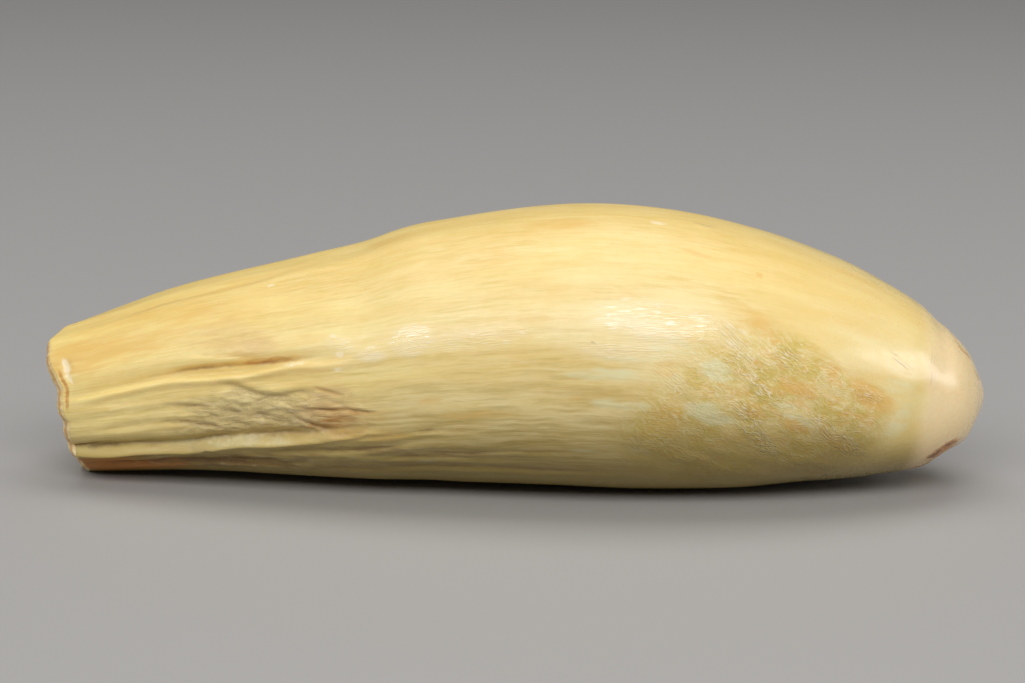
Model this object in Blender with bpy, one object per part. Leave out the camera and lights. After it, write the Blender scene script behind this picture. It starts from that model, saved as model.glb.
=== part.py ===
"""Sperm whale tooth, grown in one piece, lying on its belly.

The crown tip points to +X and the broken, open root to -X. The tooth rests
on two flats, one under the belly and one under the root. The origin is the
middle of its length and width, on the plane that it rests on.

Lengths are in millimetres up to the last step, which builds the mesh in metres.
Angles go round the tooth in degrees: 0 is the front (-Y), 90 the top,
180 the back and -90 the underside.
"""

import math
from collections import namedtuple

import bmesh
import bpy
from mathutils import Vector, noise

MM = 0.001

# Driving dimensions
LENGTH = 166.8           # crown tip to root rim, along X
DEPTH_SHARE = 1.14       # front-to-back size over height
DEPTH_CALM = 14.0        # length over which the front-to-back size is evened out
ROOT_SET_BACK = 6.0      # how far the root end curves away from the front
TIP_SET_BACK = 1.5
STRAIGHT_PART = 62.0     # distance from the tip where the plan curve begins
SPINE_REACH = 4.0        # stretch over which the middle line's direction is taken
REST_SINK = 0.35         # depth of the belly and root that the rest flats take off

# Root rim and pulp cavity
RIM_LIP = 4.3            # thickness of the wall at the rim
PULP_DEPTH = 47.0
PULP_TAPER = 0.8         # under 1 makes the cavity's sides bulge
PULP_EVEN = 0.3          # share of the cavity's depth over which the rim's bites fade

# Mesh
SIDES = 88
OUTER_RINGS = 44
PULP_RINGS = 8
LAST_RING_SHORT = 2.0    # distance from the last outer ring to the rim
SPACING_STEPS = 600      # steps of the walk that spaces the rings
FRONT_CROWDING = 0.34    # share by which columns crowd towards the lower front
CROWDED_ANGLE = -18.0

# Upper and lower outline seen from the front, at each distance from the tip
Outline = namedtuple("Outline", "distance bottom top")
OUTLINE = (
    Outline(0.0, 17.2, 17.2),
    Outline(1.5, 12.6, 21.6),
    Outline(3.7, 8.5, 25.6),
    Outline(5.9, 6.9, 27.8),
    Outline(11.4, 3.5, 31.7),
    Outline(22.3, 1.5, 38.0),
    Outline(33.2, 0.8, 43.3),
    Outline(44.1, 0.0, 47.3),
    Outline(60.4, 0.0, 50.8),
    Outline(76.8, 0.6, 51.3),
    Outline(98.6, 0.6, 47.7),
    Outline(109.5, 0.6, 44.0),
    Outline(120.4, 0.7, 41.2),
    Outline(142.2, 0.9, 35.4),
    Outline(164.0, -0.2, 27.8),
    Outline(170.0, -0.4, 26.4),
)

# A groove runs lengthwise from one distance and angle to another.
# ledge is the height of the raised lip along its lower side.
Groove = namedtuple("Groove", "start end start_angle end_angle half_width depth ledge")
GROOVES = (
    Groove(118.0, 161.0, 18.0, 15.0, 1.5, 1.3, 0.6),
    Groove(114.0, 166.0, -19.0, -29.0, 1.6, 1.5, 0.9),
    Groove(117.0, 136.0, 1.0, 1.0, 1.4, 0.7, 0.3),
    Groove(139.0, 160.0, -4.0, -1.0, 1.3, 0.4, 0.3),
    Groove(126.0, 164.0, -44.0, -50.0, 1.7, 0.9, 0.3),
    Groove(88.0, 127.0, -40.0, -34.0, 1.6, 0.5, 0.2),
    Groove(70.0, 116.0, -46.0, -47.0, 1.6, 0.4, 0.1),
    Groove(110.0, 165.0, 160.0, 150.0, 2.0, 1.2, 0.4),
    Groove(125.0, 160.0, -150.0, -160.0, 1.8, 0.9, 0.3),
    Groove(118.0, 151.0, 75.0, 70.0, 1.6, 0.5, 0.1),
)
GROOVE_FADE = 9.0        # length over which a groove's ends run out
GROOVE_WANDER = 2.2      # degrees that a groove strays from its straight line
GROOVE_BEND = 11.0       # length of one bend of a groove
GROOVE_UNEVEN = 0.35     # share by which a groove's depth changes along it
GROOVE_PATCH = 7.0       # length of one deeper or shallower stretch
RIDGE_OFFSET = 1.7       # ridge beside a groove, in half widths from its middle
RIDGE_WIDTH = 0.8        # ridge's half width, in half widths of the groove

# Shallow worn hollow on the lower front of the root, and the pit by the tip
Hollow = namedtuple("Hollow", "distance angle half_length half_width depth")
HOLLOWS = (
    Hollow(130.4, -13.0, 15.0, 3.9, 0.8),
    Hollow(6.5, -62.0, 2.2, 2.2, 0.55),
)

# Broken rim: each bite or tongue has an angle, a half width in degrees and a
# reach in millimetres, positive where the rim stands out further
Bite = namedtuple("Bite", "angle half_width reach")
BITES = (
    Bite(60.0, 26.0, 2.1),
    Bite(93.0, 16.0, -2.0),
    Bite(20.0, 11.0, -1.3),
    Bite(-8.0, 5.0, -0.5),
    Bite(-28.0, 36.0, -1.2),
    Bite(-62.0, 14.0, -0.7),
    Bite(-84.0, 12.0, 0.8),
    Bite(150.0, 20.0, -1.6),
    Bite(-140.0, 14.0, -1.1),
)
RIM_REACH = 22.0         # stretch of the root that the rim's bites pull on
RIM_ROUGHNESS = 0.45
RIM_WAVES = 2.6          # waves of the rim over its radius, then the finer ones
RIM_FINE_WAVES = 6.0

# The lip from the outer wall into the pulp cavity: how far each ring lies
# short of the rim, and how far it lies in from the outer wall
Lip = namedtuple("Lip", "short inset")
LIP_RINGS = (Lip(0.9, 0.25), Lip(0.1, 1.2), Lip(0.0, 2.6), Lip(0.8, RIM_LIP))
LIP_EVEN = 0.5           # share of the rim's bites that the inner edge loses

# Long swells of the whole surface and lengthwise flutes of the root
WAVE_LENGTH = 30.0
WAVE_HEIGHT = 0.32
WAVES_ROUND = 1.2
FLUTE_LENGTH = 55.0
FLUTE_HEIGHT = 0.38
FLUTES_ROUND = 5.0
FLUTE_START = 62.0
FLUTE_FULL = 125.0
TIP_CALM = 14.0          # distance over which the tip stays smooth

COLOUR = (0.72, 0.60, 0.33, 1.0)
ROUGHNESS = 0.32
SMOOTH_ANGLE = 40.0


def smooth_step(low, high, value):
    share = min(1.0, max(0.0, (value - low) / (high - low)))
    return share * share * (3.0 - 2.0 * share)


def bell(offset, half_width):
    return math.exp(-(offset / half_width) ** 2)


def turned(angle, middle):
    """The angle measured from another one, between -180 and 180."""
    return (angle - middle + 180.0) % 360.0 - 180.0


def hermite(x0, x1, y0, y1, slope0, slope1, x):
    span = x1 - x0
    t = (x - x0) / span
    rise = t * t * (3.0 - 2.0 * t)
    start = t * (1.0 - t) ** 2 * span * slope0
    end = t * t * (t - 1.0) * span * slope1
    return y0 + (y1 - y0) * rise + start + end


def smooth_curve(xs, ys, x):
    """A curve through every point, with slopes from the points on either side."""
    last = len(xs) - 1
    slopes = []
    for i in range(last + 1):
        before = max(i - 1, 0)
        after = min(i + 1, last)
        slopes.append((ys[after] - ys[before]) / (xs[after] - xs[before]))
    i = 0
    while i < last - 1 and x > xs[i + 1]:
        i += 1
    return hermite(xs[i], xs[i + 1], ys[i], ys[i + 1], slopes[i], slopes[i + 1], x)


# The curves run over the root of the distance, which makes the tip round. The
# size turns its sign past the tip and the middle line doesn't.
ROOTS = [math.sqrt(row.distance) for row in OUTLINE]
HALF_HEIGHTS = [(row.top - row.bottom) / 2 for row in OUTLINE]
MIDDLES = [(row.top + row.bottom) / 2 for row in OUTLINE]
MIRRORED_ROOTS = [-ROOTS[2], -ROOTS[1]] + ROOTS
MIRRORED_HEIGHTS = [-HALF_HEIGHTS[2], -HALF_HEIGHTS[1]] + HALF_HEIGHTS
MIRRORED_MIDDLES = [MIDDLES[2], MIDDLES[1]] + MIDDLES


def half_height(distance):
    return smooth_curve(MIRRORED_ROOTS, MIRRORED_HEIGHTS, math.sqrt(max(distance, 0.0)))


def half_depth(distance):
    """Half the front-to-back size, which swells more evenly than the height."""
    reach = min(DEPTH_CALM, distance / 3)
    both = half_height(distance - reach) + half_height(distance + reach)
    return DEPTH_SHARE * both / 2


def set_back(distance):
    if distance > STRAIGHT_PART:
        share = (distance - STRAIGHT_PART) / (LENGTH - STRAIGHT_PART)
        return ROOT_SET_BACK * share ** 2
    return TIP_SET_BACK * (1.0 - distance / STRAIGHT_PART) ** 2


def spine(distance):
    """A point of the tooth's middle line."""
    middle = smooth_curve(MIRRORED_ROOTS, MIRRORED_MIDDLES, math.sqrt(max(distance, 0.0)))
    return Vector((LENGTH / 2 - distance, set_back(distance), middle))


def spine_directions(distance):
    """Unit vectors at the middle line: to the tip, to the front and up."""
    nearer = spine(max(distance - SPINE_REACH, 0.0))
    to_tip = (nearer - spine(distance + SPINE_REACH)).normalized()
    to_front = to_tip.cross(Vector((0.0, 0.0, 1.0))).normalized()
    return to_tip, to_front, to_front.cross(to_tip)


def groove_height(groove, distance, angle, radius):
    """Outward shift that one groove and the ridge along it give."""
    if not groove.start - GROOVE_FADE < distance < groove.end + GROOVE_FADE:
        return 0.0
    share = (distance - groove.start) / (groove.end - groove.start)
    middle = groove.start_angle + (groove.end_angle - groove.start_angle) * share
    middle += GROOVE_WANDER * noise.noise(Vector((distance / GROOVE_BEND, groove.start, 0.5)))
    across = math.radians(turned(angle, middle)) * radius / groove.half_width
    run_out = smooth_step(groove.start - GROOVE_FADE, groove.start + GROOVE_FADE, distance)
    run_out *= 1.0 - smooth_step(groove.end - GROOVE_FADE, groove.end + GROOVE_FADE, distance)
    patch = noise.noise(Vector((distance / GROOVE_PATCH, 0.5, groove.start)))
    strength = 1.0 + GROOVE_UNEVEN * patch
    floor = groove.depth * bell(across, 1.0)
    ridge = groove.ledge * bell(across + RIDGE_OFFSET, RIDGE_WIDTH)
    return run_out * strength * (ridge - floor)


def hollow_height(hollow, distance, angle, radius):
    along = (distance - hollow.distance) / hollow.half_length
    across = math.radians(turned(angle, hollow.angle)) * radius / hollow.half_width
    return -hollow.depth * math.exp(-along * along - across * across)


def relief(distance, angle, radius):
    """Outward shift of the surface from its smooth form."""
    turn = math.radians(angle)
    around = Vector((0.0, math.cos(turn), math.sin(turn)))
    calm = smooth_step(0.0, TIP_CALM, distance)
    wave = noise.noise(Vector((distance / WAVE_LENGTH, 0.0, 9.0)) + around * WAVES_ROUND)
    flute = noise.noise(Vector((distance / FLUTE_LENGTH, 4.0, 0.0)) + around * FLUTES_ROUND)
    height = calm * WAVE_HEIGHT * wave
    height += FLUTE_HEIGHT * flute * smooth_step(FLUTE_START, FLUTE_FULL, distance)
    height += sum(groove_height(groove, distance, angle, radius) for groove in GROOVES)
    height += sum(hollow_height(hollow, distance, angle, radius) for hollow in HOLLOWS)
    return height


def rim_reach(angle):
    """How far the broken rim stands out past its mean plane at an angle."""
    turn = math.radians(angle)
    around = Vector((math.cos(turn), math.sin(turn), 2.0))
    rough = noise.noise(around * RIM_WAVES) + noise.noise(around * RIM_FINE_WAVES) / 2
    bites = sum(bite.reach * bell(turned(angle, bite.angle), bite.half_width) for bite in BITES)
    return bites + RIM_ROUGHNESS * rough


def section_point(distance, angle, share=1.0, inset=0.0, swell=0.0, push=0.0):
    """A point of the cross-section: share scales it, inset moves it in, push to the tip."""
    to_tip, to_front, up = spine_directions(distance)
    turn = math.radians(angle)
    across = (half_depth(distance) - inset) * share + swell
    tall = (half_height(distance) - inset) * share + swell
    offset = to_front * across * math.cos(turn) + up * tall * math.sin(turn)
    return spine(distance) + offset + to_tip * push


def wall_point(distance, angle):
    """A point of the outer surface, with the rim's bites worked in near the root end."""
    pull = smooth_step(LENGTH - RIM_REACH, LENGTH, distance)
    swell = relief(distance, angle, half_height(distance))
    return section_point(distance, angle, swell=swell, push=-pull * rim_reach(angle))


def lip_point(lip, angle):
    """A point of the broken edge between the outer wall and the pulp cavity."""
    inward = lip.inset / RIM_LIP
    swell = relief(LENGTH, angle, half_height(LENGTH)) * (1.0 - inward)
    push = lip.short - rim_reach(angle) * (1.0 - LIP_EVEN * inward)
    return section_point(LENGTH, angle, inset=lip.inset, swell=swell, push=push)


def pulp_point(share, angle):
    """A point of the pulp cavity, share 0 at its mouth and 1 at its bottom."""
    depth = PULP_DEPTH * share
    mouth = (1.0 - share) ** PULP_TAPER
    distance = LENGTH - depth
    narrowing = (half_height(LENGTH) - RIM_LIP) / half_height(distance) * mouth
    fade = 1.0 - smooth_step(0.0, PULP_EVEN, share)
    push = LIP_RINGS[-1].short - rim_reach(angle) * (1.0 - LIP_EVEN) * fade
    return section_point(distance, angle, share=narrowing, push=push)


def ring_distances():
    """Distances of the outer rings from the tip, evenly spaced along the outline."""
    last = LENGTH - LAST_RING_SHORT
    distances = [last * (i / SPACING_STEPS) ** 2 for i in range(SPACING_STEPS + 1)]
    run = [0.0]
    for near, far in zip(distances, distances[1:]):
        run.append(run[-1] + math.hypot(far - near, half_height(far) - half_height(near)))
    spaced = []
    i = 0
    for ring in range(OUTER_RINGS + 1):
        wanted = run[-1] * ring / OUTER_RINGS
        while i < SPACING_STEPS and run[i] < wanted:
            i += 1
        spaced.append(distances[i])
    return spaced


def crowded(angle):
    """Moves the columns of points closer together round the furrowed lower front."""
    offset = math.radians(turned(angle, CROWDED_ANGLE))
    return CROWDED_ANGLE + math.degrees(offset - FRONT_CROWDING * math.sin(offset))


def tooth_point(ring, angle, distances):
    """The place of a point from its ring, counted from the tip over the rim to the cavity."""
    if ring <= OUTER_RINGS:
        return wall_point(distances[ring], angle)
    ring -= OUTER_RINGS + 1
    if ring < len(LIP_RINGS):
        return lip_point(LIP_RINGS[ring], angle)
    ring -= len(LIP_RINGS)
    return pulp_point((ring + 1) / PULP_RINGS, angle)


def tooth_mesh():
    """A sphere drawn out into the tooth, its south end folded in as the pulp cavity."""
    rings = OUTER_RINGS + len(LIP_RINGS) + PULP_RINGS
    bm = bmesh.new()
    bmesh.ops.create_uvsphere(bm, u_segments=SIDES, v_segments=rings, radius=1.0)
    distances = ring_distances()
    for vert in bm.verts:
        polar = math.acos(min(1.0, max(-1.0, vert.co.z)))
        ring = round(polar / math.pi * rings)
        angle = crowded(math.degrees(math.atan2(vert.co.y, vert.co.x)))
        vert.co = tooth_point(ring, angle, distances)
        vert.co.z = max(0.0, vert.co.z - REST_SINK)
    centre_on_origin(bm)
    bmesh.ops.recalc_face_normals(bm, faces=bm.faces)
    bmesh.ops.scale(bm, vec=(MM, MM, MM), verts=bm.verts)
    mesh = bpy.data.meshes.new("tooth")
    bm.to_mesh(mesh)
    bm.free()
    mesh.shade_smooth()
    mesh.set_sharp_from_angle(angle=math.radians(SMOOTH_ANGLE))
    return mesh


def centre_on_origin(bm):
    for axis in (0, 1):
        places = [vert.co[axis] for vert in bm.verts]
        middle = (min(places) + max(places)) / 2
        for vert in bm.verts:
            vert.co[axis] -= middle


def ivory():
    material = bpy.data.materials.new("ivory")
    material.use_nodes = True
    shader = material.node_tree.nodes["Principled BSDF"]
    shader.inputs["Base Color"].default_value = COLOUR
    shader.inputs["Roughness"].default_value = ROUGHNESS
    shader.inputs["Metallic"].default_value = 0.0
    return material


def main():
    for obj in list(bpy.data.objects):
        bpy.data.objects.remove(obj, do_unlink=True)
    collection = bpy.data.collections.new("sperm_whale_tooth")
    bpy.context.scene.collection.children.link(collection)
    tooth = bpy.data.objects.new("tooth", tooth_mesh())
    tooth.data.materials.append(ivory())
    collection.objects.link(tooth)


main()
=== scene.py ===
"""Sperm whale tooth in worn, polished ivory, with a plain studio stage.

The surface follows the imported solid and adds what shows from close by: lengthwise
strands, small furrows, the worn hollow, the crisp broken rim and the growth rings
of the pulp cavity. Stains, cracks and polish are masks on the mesh, which the
materials break up with fine procedural texture.

Lengths of the form are in millimetres, and the mesh is turned into metres at the
end. Distance is measured from the crown tip along the tooth. Angles go round it in
degrees: 0 is the front (-Y), 90 the top, 180 the back and -90 the underside.
"""

import math
from collections import namedtuple

import bpy
from mathutils import Matrix, Vector, noise


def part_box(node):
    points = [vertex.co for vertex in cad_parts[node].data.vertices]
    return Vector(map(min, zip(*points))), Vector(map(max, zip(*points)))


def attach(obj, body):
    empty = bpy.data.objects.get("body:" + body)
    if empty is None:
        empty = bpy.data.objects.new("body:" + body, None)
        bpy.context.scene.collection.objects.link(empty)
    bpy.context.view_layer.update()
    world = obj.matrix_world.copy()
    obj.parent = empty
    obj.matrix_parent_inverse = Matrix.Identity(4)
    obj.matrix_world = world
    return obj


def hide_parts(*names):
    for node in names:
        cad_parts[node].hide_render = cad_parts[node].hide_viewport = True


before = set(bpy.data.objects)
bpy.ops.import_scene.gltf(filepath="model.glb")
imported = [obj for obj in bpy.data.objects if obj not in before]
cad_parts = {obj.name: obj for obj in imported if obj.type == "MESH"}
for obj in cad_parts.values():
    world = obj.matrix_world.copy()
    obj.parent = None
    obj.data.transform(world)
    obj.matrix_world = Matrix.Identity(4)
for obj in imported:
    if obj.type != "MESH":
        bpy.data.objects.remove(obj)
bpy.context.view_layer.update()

bl_info = {
    "name": "Sperm Whale Tooth",
    "version": (1, 0, 0),
    "blender": (4, 5, 0),
    "location": "3D View > Sidebar > Tooth",
    "description": "Builds a worn ivory whale tooth over its packed solid, and a studio stage",
    "category": "Add Mesh",
}

TOOTH_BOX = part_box("tooth")

MM = 0.001

# Driving dimensions of the form
LENGTH = 166.8
DEPTH_SHARE = 1.14
DEPTH_CALM = 14.0
ROOT_SET_BACK = 6.0
TIP_SET_BACK = 1.5
STRAIGHT_PART = 62.0
SPINE_REACH = 4.0
REST_SINK = 0.35
PULP_DEPTH = 47.0
PULP_TAPER = 0.8
PULP_EVEN = 0.3

# Upper and lower outline seen from the front, at each distance from the tip
Outline = namedtuple("Outline", "distance bottom top")
OUTLINE = [Outline(*row) for row in (
    (0, 17.2, 17.2), (1.5, 12.6, 21.6), (3.7, 8.5, 25.6), (5.9, 6.9, 27.8), (11.4, 3.5, 31.7),
    (22.3, 1.5, 38), (33.2, 0.8, 43.3), (44.1, 0, 47.3), (60.4, 0, 50.8), (76.8, 0.6, 51.3),
    (98.6, 0.6, 47.7), (109.5, 0.6, 44), (120.4, 0.7, 41.2), (142.2, 0.9, 35.4),
    (164, -0.2, 27.8), (170, -0.4, 26.4),
)]

# A groove runs lengthwise from one distance and angle to another, bent by some
# degrees halfway. side is 1 where its lower wall is the steep one, under which a lit
# ledge stands up, and -1 where it is the upper one. line is how dark its crease is;
# amber, brown and grey say what has settled round it.
Groove = namedtuple(
    "Groove", "start end start_angle end_angle bend half_width depth ledge side line amber brown grey"
)
GROOVES = [Groove(*row) for row in (
    (118, 161, 18, 15, 0, 1.5, 1.3, 0.7, 1, 0.1, 0.15, 0.1, 0),
    (120.5, 143, 19, 18.5, 0, 0.7, 0.25, 0.15, 1, 0.8, 1, 0.1, 0),
    (128, 139, 20.5, 25, 0, 0.9, 0.25, 0.1, 1, 0.2, 0.5, 0.2, 0),
    (116, 167, -20, -29, -3, 1.5, 1.3, 1, 1, 0.65, 0.1, 0.25, 0.3),
    (158, 167, -25, -29, 0, 0.5, 0.2, 0.1, 1, 0.6, 0.9, 0.4, 0),
    (121, 133.5, 2, 7.5, -4, 1.5, 0.8, 0.3, -1, 0.6, 0, 0.35, 0.5),
    (138, 145, -3.5, -1.5, 0, 0.8, 0.22, 0.1, -1, 0.5, 0.4, 0.3, 0.1),
    (139, 160, -4, -3, 0, 1.8, 0.25, 0.15, 1, 0, 0.1, 0.05, 0.15),
    (134, 146, -19, -13, 0, 0.8, 0.22, 0.1, 1, 0.4, 0.1, 0.4, 0.4),
    (126, 164, -44, -50, 0, 1.7, 0.6, 0.2, 1, 0.8, 0.4, 0.6, 0),
    (128, 143, -50, -48, 0, 0.6, 0.35, 0.2, 1, 1, 0, 0.5, 0.1),
    (104, 127, -28, -34, -1.5, 1.5, 0.38, 0.15, 1, 0.35, 0, 0.5, 0.3),
    (88, 112, -40, -37, 0, 1.8, 0.3, 0.1, 1, 0.2, 0, 0.4, 0.1),
    (70, 116, -46, -47, 0, 1.8, 0.25, 0.1, 1, 0.2, 0, 0.5, 0.1),
    (115, 120, -8, -7.5, 0, 0.6, 0.35, 0.1, -1, 0.9, 0.9, 0.2, 0),
    (109.5, 114, -9.5, -8, 0, 0.6, 0.25, 0.1, -1, 0.9, 0.9, 0.2, 0),
    (114.5, 118.5, 0, 3.5, 0, 0.6, 0.25, 0.1, -1, 0.5, 0.9, 0.1, 0),
    (111, 123, -18, -13, -5, 0.9, 0.4, 0.2, 1, 0.4, 0.8, 0.3, 0.1),
    (146, 163, 5, 7, 0, 1.3, 0.18, 0.1, 1, 0, 0, 0.05, 0.15),
    (144, 162, -13, -11, 0, 1.5, 0.2, 0.12, 1, 0, 0, 0.1, 0.15),
    (146, 158, -36, -39, 0, 0.9, 0.3, 0.2, 1, 0.3, 0, 0.3, 0.2),
    (96, 112, -22, -24, 0, 0.8, 0.15, 0.1, 1, 0.3, 0.1, 0.3, 0),
    (78, 101, -33, -36, 0, 0.9, 0.15, 0.1, 1, 0.3, 0, 0.4, 0.1),
    (118, 151, 75, 70, 0, 1.6, 0.3, 0.1, 1, 0, 0.3, 0, 0),
    (120, 158, 112, 106, 0, 1.2, 0.4, 0.2, 1, 0.3, 0.3, 0.2, 0.1),
    (110, 165, 160, 150, 0, 2, 1.2, 0.5, 1, 0.5, 0.3, 0.4, 0.2),
    (105, 162, -178, -174, 0, 1.3, 0.5, 0.3, 1, 0.4, 0.3, 0.3, 0.2),
    (125, 160, -150, -160, 0, 1.8, 0.9, 0.4, 1, 0.6, 0.2, 0.5, 0.3),
    (128, 164, -112, -104, 0, 1.4, 0.5, 0.3, 1, 0.4, 0.1, 0.6, 0.2),
    (92, 121, 136, 140, 0, 1, 0.25, 0.1, 1, 0.3, 0.3, 0.2, 0),
)]
GROOVE_FADE = 9.0
SHORT_FADE = 0.35        # share of a short groove's length over which its ends run out
GROOVE_WANDER = 2.2
GROOVE_BEND = 11.0
GROOVE_UNEVEN = 0.35
GROOVE_PATCH = 7.0
GROOVE_SEED = 0.5

# In half widths of a groove: how wide its steep wall is, how far off and how wide the
# ledge beyond it is, and the same two of the dirt that settles in it
STEEP_WALL = 0.4
RIDGE_OFFSET = 0.85
RIDGE_WIDTH = 0.5
DIRT_OFFSET = 0.25
DIRT_REACH = 0.75

LINE_REACH = 1.5         # stretch in millimetres on either side that knows of a crease
NO_LINE = 4.0            # distance that stands for no crease at all

Hollow = namedtuple("Hollow", "distance angle half_length half_width depth")
HOLLOWS = [Hollow(*row) for row in (
    (130.4, -13, 15, 3.9, 0.8), (6.5, -62, 2.2, 2.2, 0.55), (162.3, 37, 0.9, 1.5, 0.3),
    (163, 29, 0.6, 1.6, 0.2), (8.2, -40, 1.6, 1.2, 0.35), (45.6, 52, 0.5, 0.5, 0.06),
)]

Bite = namedtuple("Bite", "angle half_width reach")
BITES = [Bite(*row) for row in (
    (60, 26, 2.1), (93, 16, -2), (20, 11, -1.3), (-8, 5, -0.5), (-28, 36, -1.2),
    (-62, 14, -0.7), (-84, 12, 0.8), (150, 20, -1.6), (-140, 14, -1.1),
)]
RIM_REACH = 22.0         # stretch of the wall that the rim's bites move
RIM_CHIPPED = 4.0        # stretch of the wall that its chips move
RIM_ROUGHNESS = 0.45
RIM_WAVES = 2.6
RIM_FINE_WAVES = 6.0
RIM_CHIP_WAVES = 17.0
RIM_CHIP_DEPTH = 0.22
RIM_SEED = 2.0
RIM_CHIP_SEED = 5.0

# The broken edge from the outer wall into the pulp cavity: how far it lies short
# of the rim and how far in from the outer wall
RIM_LIP = 4.3
Lip = namedtuple("Lip", "run short inset")
LIP = [Lip(*row) for row in (
    (0, 1.3, 0), (0.1, 0.95, 0.12), (0.28, 0.5, 0.6), (0.45, 0.15, 1.3), (0.68, 0, 2.4),
    (0.85, 0.2, 3.4), (1, 0.8, RIM_LIP),
)]
LIP_EVEN = 0.5
LIP_FRACTURE = 0.16      # height of the fracture's crumbs
LIP_CRUMB = 0.9          # size of one crumb
LIP_SMOOTH = 0.25        # share of the lip over which its crumbs begin
LIP_CHIPPED = 0.5        # share of the lip over which the chips of the outer edge end

WAVE_LENGTH = 30.0
WAVE_HEIGHT = 0.32
WAVES_ROUND = 1.2
WAVE_SEED = 9.0
FLUTE_LENGTH = 55.0
FLUTE_HEIGHT = 0.38
FLUTES_ROUND = 5.0
FLUTE_SEED = 4.0
FLUTE_START = 62.0
FLUTE_FULL = 125.0
TIP_CALM = 14.0

# Fine relief: strands and threads run lengthwise, crumbs roughen worn patches
STRAND_LENGTH = 26.0
STRANDS_ROUND = 11.0
STRAND_SEED = 2.0
STRAND_HEIGHT = (0.03, 0.055)      # at the crown and at the root
THREAD_LENGTH = 15.0
THREADS_ROUND = 25.0
THREAD_SEED = 7.0
THREAD_HEIGHT = (0.014, 0.016)
STRANDS_BEGIN = 16.0
STRANDS_FULL = 46.0
CRUMB_SIZE = 1.7
CRUMB_HEIGHT = 0.34
LUMP_SIZE = 3.4
LUMP_HEIGHT = 0.14
WRINKLE_LENGTH = 4.2
WRINKLE_WIDTH = 1.3
WRINKLE_HEIGHT = 0.27
WRINKLE_BEND = 5.0
WRINKLE_WANDER = 1.1
WRINKLE_SEED = 1         # sets which way the wrinkles bend, the same in every run
FOLD_DEEP = 0.5          # depth at which the floor of a wrinkle is fully darkened
PRINT_SLANT = -38.0
PRINT_LENGTH = 2.6
PRINT_WIDTH = 1.3
PRINT_HEIGHT = 0.06
PULP_RING_SPACING = 2.3
PULP_RING_HEIGHT = 0.07
PULP_ROUGH = 0.12
PULP_RELIEF_ENDS = 0.5   # share of the mouth's width below which the relief dies out

# Mesh of the fine surface
SIDES = 268
OUTER_RINGS = 300
LIP_STEPS = 14
PULP_STEPS = 44
WALL_END_SHORT = 1.3
SPACING_STEPS = 3000
FRONT_CROWDING = 0.4
CROWDED_ANGLE = -10.0
ROOT_CROWDING = 1.5
ROOT_CROWDED = (98.0, 112.0)
GRAIN_RADIUS = 25.0      # radius on which the lengthwise grain is laid out

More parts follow.
